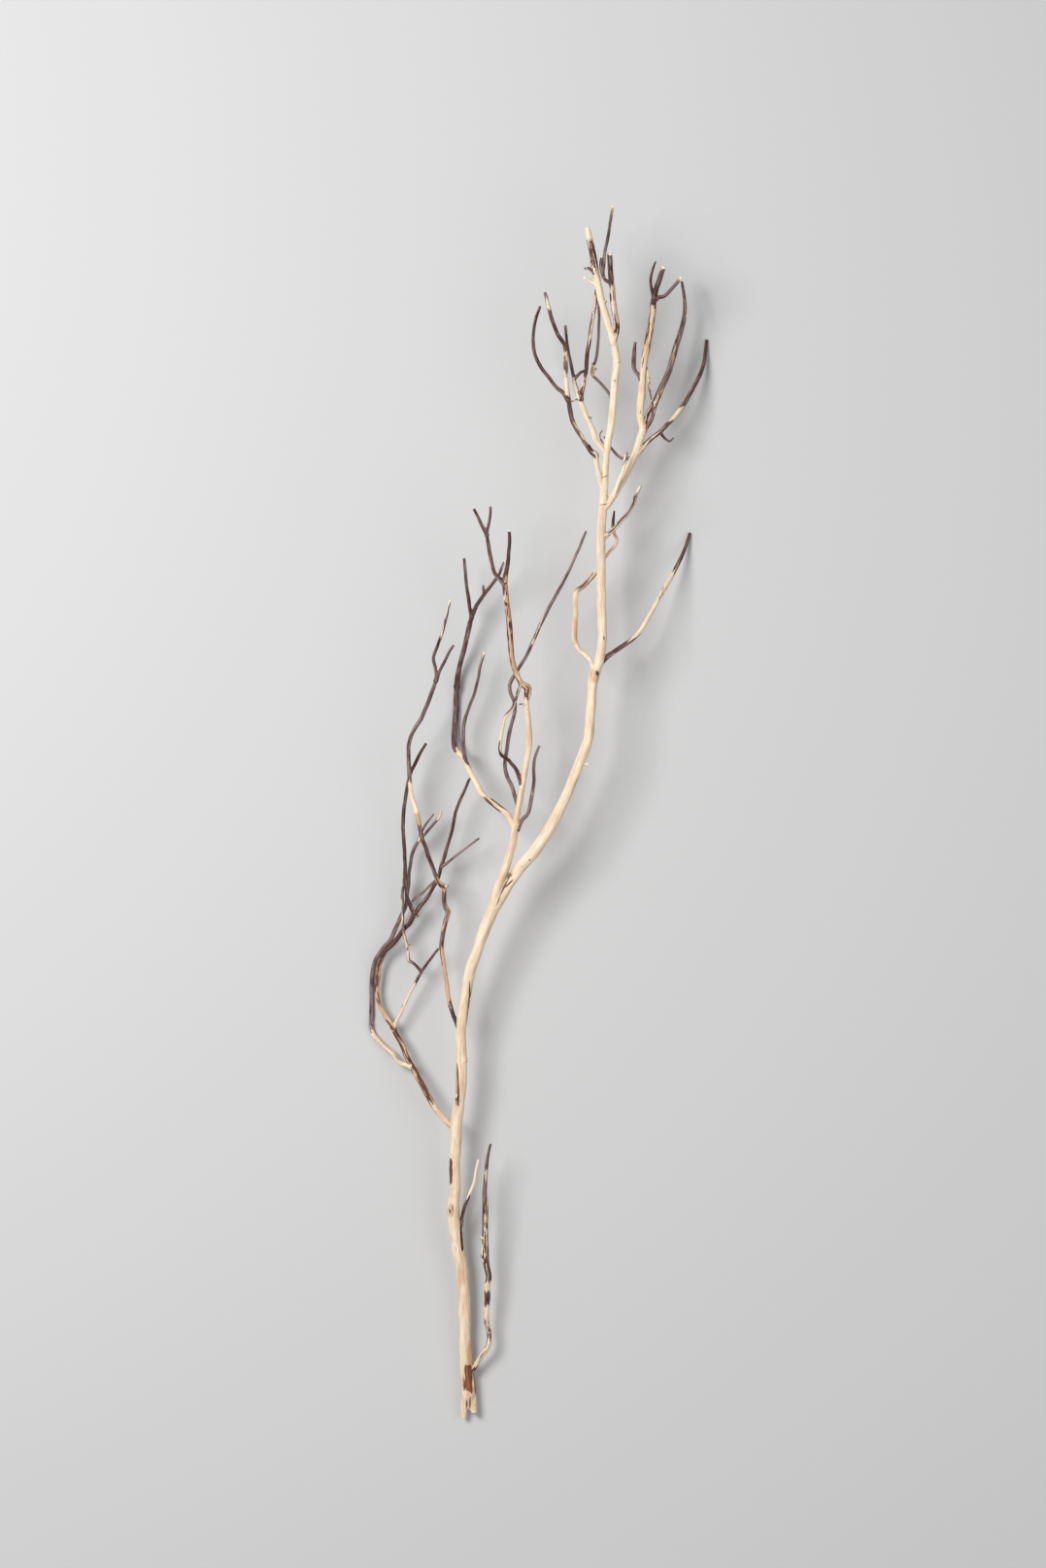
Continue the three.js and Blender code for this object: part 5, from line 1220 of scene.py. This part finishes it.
def thin_bark_group(colours):
    """Thin bark: mottled, with pale breathing pores and a grey bloom. Below tone 0 it is rusty inner bark."""
    tints = {"Red": opaque(colours.red_bark), "Dark": opaque(colours.dark_bark),
             "Grey": opaque(colours.grey_bark), "Inner": opaque(colours.inner_bark)}
    group, start, end = new_group("Thin bark", {"Tone": 0.2}, tints, ("Colour", "Height"))
    grain = (start, "Grain")
    strips = grain_noise(group, grain, 600, 0.07, 5.0, 4, 0.6)
    mottle = grain_noise(group, grain, 200, 0.3, 5.5, 5, 0.65)
    fine = grain_noise(group, grain, 0, 0.5, 16, 3)
    bloom = grain_noise(group, grain, -200, 0.25, 2.4, 4)
    patchy = ramp_node(group, mottle, (-400, 200), (0.32, 1.0), (0.6, 0.0))
    base = mix_colours(group, (-100, 200), patchy, (start, "Red"), (start, "Dark"))
    rusty = math_node(group, "MULTIPLY", (-400, 350), (start, "Tone"), -2.0, clamp=True)
    base = mix_colours(group, (0, 350), rusty, base, (start, "Inner"))
    greyed = math_node(group, "ADD", (-550, -100), bloom, (start, "Tone"))
    greyed = math_node(group, "MULTIPLY_ADD", (-400, -100), strips, 0.6, greyed)
    greyed = math_node(group, "MULTIPLY", (-330, -100), greyed, 0.6)
    greyed = ramp_node(group, greyed, (-250, -100), (0.5, 0.0), (0.7, 0.85))
    dusty = mix_colours(group, (100, 150), greyed, base, (start, "Grey"))
    shade = math_node(group, "MULTIPLY_ADD", (-550, 400), strips, 2.0, fine)
    shade = math_node(group, "MULTIPLY", (-470, 400), shade, 0.5)
    shade = ramp_node(group, shade, (-400, 400), (0.55, 0.4), (0.75, 1.0), (0.95, 1.9))
    shaded = mix_colours(group, (250, 150), 1.0, dusty, shade, "MULTIPLY")
    drawn = add_node(
        group, "ShaderNodeVectorMath", (-900, -450), {0: grain, 1: (1, 1, 0.55)}, operation="MULTIPLY")
    pores = add_node(group, "ShaderNodeTexVoronoi", (-700, -450), {"Scale": 5.0, "Vector": (drawn, 0)})
    dots = ramp_node(group, (pores, "Distance"), (-400, -450), (0.0, 0.7), (0.07, 0.4), (0.13, 0.0))
    dotted = mix_colours(group, (400, 150), dots, shaded, opaque(PORE_COLOUR))
    height = math_node(group, "MULTIPLY_ADD", (250, -150), dots, 0.5, mottle)
    height = math_node(group, "MULTIPLY_ADD", (400, -150), fine, 0.5, height)
    height = math_node(group, "MULTIPLY_ADD", (550, -150), strips, 1.2, height)
    feed(group, end, {"Colour": dotted, "Height": height})
    return group


def bark_edge_group():
    """Where bark begins: the stored amount, broken up finely, and the lip at its edge."""
    group, start, end = new_group("Bark edge", {"Amount": 0.5}, {}, ("Mask", "Lip"))
    crumble = grain_noise(group, (start, "Grain"), 0, 0.35, 11, 4, 0.6)
    amount = math_node(group, "MULTIPLY_ADD", (-300, 0), crumble, 0.24, (start, "Amount"))
    amount = math_node(group, "SUBTRACT", (-150, 0), amount, 0.12)
    mask = ramp_node(group, amount, (0, 0), (0.475, 0.0), (0.525, 1.0))
    lip = ramp_node(group, amount, (0, -250), (0.4, 0.0), (0.48, 1.0), (0.56, 0.0))
    feed(group, end, {"Mask": mask, "Lip": lip})
    return group


def wood_material(name, groups, colours, roughness, bump):
    """Bare wood under worn bark, with painted shade in slits and hollows. The piece's attributes say where
    bark is, how the grain runs and where the shade is painted.
    """
    material = bpy.data.materials.new(name)
    material.use_nodes = True
    tree = material.node_tree

    def stored(attribute, row):
        return add_node(tree, "ShaderNodeAttribute", (-1500, row), {}, attribute_name=attribute)

    def placed(kind, row, **inputs):
        return add_node(tree, "ShaderNodeGroup", (-1000, row), inputs, node_tree=groups[kind])

    grain = (stored("grain", 0), "Vector")
    tones = (stored("tones", 250), "Vector")
    amount = (stored("bark", 500), "Fac")
    dirt = (stored("dirt", 750), "Fac")
    tone = add_node(tree, "ShaderNodeSeparateXYZ", (-1300, 250), {0: tones})
    wood = placed("wood", 200, Grain=grain, Tone=(tone, 0))
    bark = placed("bark", -100, Grain=grain, Tone=(tone, 1))
    edge = placed("edge", 500, Grain=grain, Amount=amount)
    fresh = mix_colours(tree, (-750, 300), (tone, 2), (wood, "Colour"), opaque(colours.broken))
    stain = mix_colours(tree, (-600, 400), (edge, "Lip"), opaque((1, 1, 1)), opaque(LIP_STAIN))
    stained = mix_colours(tree, (-450, 400), 1.0, fresh, stain, "MULTIPLY")
    surface = mix_colours(tree, (-300, 200), (edge, "Mask"), stained, (bark, "Colour"))
    # Painted shade: slits and hollows are darkened towards the check colour.
    painted_shade_share = math_node(tree, "MULTIPLY", (-300, 600), dirt, 0.92, clamp=True)
    painted_shade_surface = mix_colours(tree, (-150, 300), painted_shade_share, surface, opaque(colours.check))
    shine = add_node(
        tree, "ShaderNodeMapRange", (-150, 0),
        {0: (edge, "Mask"), "To Min": roughness, "To Max": roughness - BARK_GLOSS})
    high = math_node(tree, "MULTIPLY", (-600, -250), (bark, "Height"), (edge, "Mask"))
    high = math_node(tree, "MULTIPLY_ADD", (-450, -250), (edge, "Mask"), 0.9, high)
    high = math_node(tree, "MULTIPLY_ADD", (-300, -250), (wood, "Height"), 0.55, high)
    relief = add_node(
        tree, "ShaderNodeBump", (-150, -250), {"Strength": bump, "Distance": RELIEF, "Height": high})
    feed(tree, tree.nodes["Principled BSDF"], {
        "Base Color": painted_shade_surface, "Roughness": (shine, 0), "Normal": (relief, 0), "Specular IOR Level": 0.24})


def make_materials():
    colours = bpy.context.scene.branch_colours
    groups = {"wood": dry_wood_group(colours), "bark": thin_bark_group(colours), "edge": bark_edge_group()}
    wood_material(FINISHES["bare_wood"], groups, colours, 0.62, 0.55)
    wood_material(FINISHES[WORN_SLOT], groups, colours, 0.66, 0.65)
    wood_material(FINISHES["bark_twig"], groups, colours, 0.68, 0.75)


class RaiseLimbs:
    """Raises the limbs of the operator's nodes."""

    def execute(self, context):
        raise_blanks(self.nodes)
        return {"FINISHED"}


class BRANCH_OT_trunk(RaiseLimbs, bpy.types.Operator):
    """Raise the stem and the leaders"""

    bl_idname = "branch.trunk"
    bl_label = "Stem and leaders"
    nodes = ("lower_stem", "right_leader", "left_leader", "crown_leader")


class BRANCH_OT_left_limbs(RaiseLimbs, bpy.types.Operator):
    """Raise the long limbs on the left"""

    bl_idname = "branch.left_limbs"
    bl_label = "Left limbs"
    nodes = ("outer_left_limb", "outer_left_tip", "middle_left_limb", "middle_left_tip", "trailing_twig")


class BRANCH_OT_loops(RaiseLimbs, bpy.types.Operator):
    """Raise the looping limbs low on the left, and the twig by the butt"""

    bl_idname = "branch.loops"
    bl_label = "Looping limbs"
    nodes = ("lower_left_limb", "inner_loop", "outer_loop", "upright_twig", "diagonal_twig", "cross_twig",
             "butt_side_twig")


class BRANCH_OT_crown(RaiseLimbs, bpy.types.Operator):
    """Raise the crown's twigs"""

    bl_idname = "branch.crown"
    bl_label = "Crown"
    nodes = ("crown_twin_twig", "crown_left_twig", "crown_middle_twig", "crown_right_limb",
             "crown_right_inner", "crown_right_outer", "crown_side_twig", "leader_short_twig",
             "leader_loop_twig", "leader_long_twig")


class BRANCH_OT_wood(bpy.types.Operator):
    """Fuse the limbs into one piece of wood, weather it, and part it into the nodes' pieces"""

    bl_idname = "branch.wood"
    bl_label = "Weathered wood"

    def execute(self, context):
        make_materials()
        limbs = all_limbs()
        names = list(LIMBS)
        fused = fuse_blanks()
        surface = weather(fused, limbs)
        part_nodes(fused, face_nodes(fused, surface, limbs, names), names)
        bpy.data.meshes.remove(fused)
        return {"FINISHED"}


class BRANCH_OT_shreds(bpy.types.Operator):
    """Add the loose strips of bark and the splinters"""

    bl_idname = "branch.shreds"
    bl_label = "Shreds of bark"

    def execute(self, context):
        bm = bmesh.new()
        for number, points in enumerate(SHREDS):
            strip = Limb("shred", str(number), points, 0.0)
            raise_limb(bm, strip, SHRED_SIDES, context.scene.branch_sizes.shred_thickness, SHRED_TILT)
        piece = object_from(bm, "bark_shreds")
        mesh = piece.data
        mesh.shade_smooth()
        place = vertex_vectors(mesh, "co") / MM
        store(mesh, "bark", np.clip(0.5 + 0.5 * field(place * 0.35), 0, 1))
        store(mesh, "grain", place * GRAIN_SCALE)
        store(mesh, "tones", np.tile((0.5, 0.25, 0.0), (len(place), 1)))
        # The shreds get no painted shade in slits or hollows.
        store(mesh, "dirt", np.zeros(len(place)))
        mesh.materials.append(bpy.data.materials[FINISHES[WORN_SLOT]])
        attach(piece, "root")
        return {"FINISHED"}


def add_area_light(name, place, size, power):
    """A round light that shines on the branch's middle."""
    data = bpy.data.lights.new(name, "AREA")
    data.shape = "DISK"
    data.size = size
    data.energy = power
    lamp = bpy.data.objects.new(name, data)
    lamp.location = place
    lamp.rotation_euler = (-Vector(place)).to_track_quat("-Z", "Y").to_euler()
    bpy.context.scene.collection.objects.link(lamp)


class BRANCH_OT_stage(bpy.types.Operator):
    """Set the floor, the light and the camera"""

    bl_idname = "branch.stage"
    bl_label = "Stage"

    def execute(self, context):
        stage = context.scene.branch_stage
        bm = bmesh.new()
        bmesh.ops.create_grid(bm, x_segments=2, y_segments=2, size=stage.floor_size / 2)
        bmesh.ops.translate(bm, vec=(0, 0, -FLOOR_GAP), verts=bm.verts)
        floor = object_from(bm, "floor")
        plain = bpy.data.materials.new("floor_plain")
        plain.use_nodes = True
        feed(plain.node_tree, plain.node_tree.nodes["Principled BSDF"], {
            "Base Color": opaque(stage.floor_colour), "Roughness": 0.9, "Specular IOR Level": 0.1})
        floor.data.materials.append(plain)

        world = bpy.data.worlds.new("studio")
        world.use_nodes = True
        feed(world.node_tree, world.node_tree.nodes["Background"], {
            "Color": (1, 1, 1, 1), "Strength": stage.sky})
        context.scene.world = world
        context.scene.view_settings.view_transform = "Standard"
        add_area_light("key", KEY_PLACE, KEY_SIZE, stage.key_power)
        add_area_light("fill", FILL_PLACE, FILL_SIZE, stage.fill_power)

        data = bpy.data.cameras.new("camera")
        data.lens = stage.lens
        data.sensor_fit = "VERTICAL"
        data.sensor_height = SENSOR
        data.clip_end = 100
        camera = bpy.data.objects.new("camera", data)
        aim = Vector((VIEW_WIDTH / 2 - CENTRE_ACROSS, CENTRE_DOWN - (VIEW_HEIGHT / 2 - AIM_RISE), 0)) * MM
        camera.location = aim + Vector((0, 0, TRUE_SCALE_AT + VIEW_HEIGHT * MM * stage.lens / SENSOR))
        context.scene.collection.objects.link(camera)
        context.scene.camera = camera
        return {"FINISHED"}


class BRANCH_PT_panel(bpy.types.Panel):
    """Builds the fallen branch step by step"""

    bl_label = "Fallen branch"
    bl_idname = "BRANCH_PT_panel"
    bl_space_type = "VIEW_3D"
    bl_region_type = "UI"
    bl_category = "Branch"

    def draw(self, context):
        for group in GROUPS:
            settings = getattr(context.scene, group)
            box = self.layout.box()
            for name in settings.bl_rna.properties.keys():
                if name not in ("rna_type", "name"):
                    box.prop(settings, name)
        for operator in OPERATORS:
            self.layout.operator(operator.bl_idname)


GROUPS = {
    "branch_sizes": BranchSizes,
    "branch_colours": BranchColours,
    "branch_stage": StageSettings,
}
OPERATORS = (
    BRANCH_OT_trunk, BRANCH_OT_left_limbs, BRANCH_OT_loops, BRANCH_OT_crown, BRANCH_OT_wood, BRANCH_OT_shreds,
    BRANCH_OT_stage,
)


def register():
    for name, group in GROUPS.items():
        bpy.utils.register_class(group)
        setattr(bpy.types.Scene, name, bpy.props.PointerProperty(type=group))
    for operator in OPERATORS:
        bpy.utils.register_class(operator)
    bpy.utils.register_class(BRANCH_PT_panel)


def unregister():
    bpy.utils.unregister_class(BRANCH_PT_panel)
    for operator in reversed(OPERATORS):
        bpy.utils.unregister_class(operator)
    for name, group in GROUPS.items():
        delattr(bpy.types.Scene, name)
        bpy.utils.unregister_class(group)


def main():
    register()
    bpy.ops.branch.trunk()
    bpy.ops.branch.left_limbs()
    bpy.ops.branch.loops()
    bpy.ops.branch.crown()
    bpy.ops.branch.wood()
    bpy.ops.branch.shreds()
    bpy.ops.branch.stage()


if __name__ == "__main__":
    main()
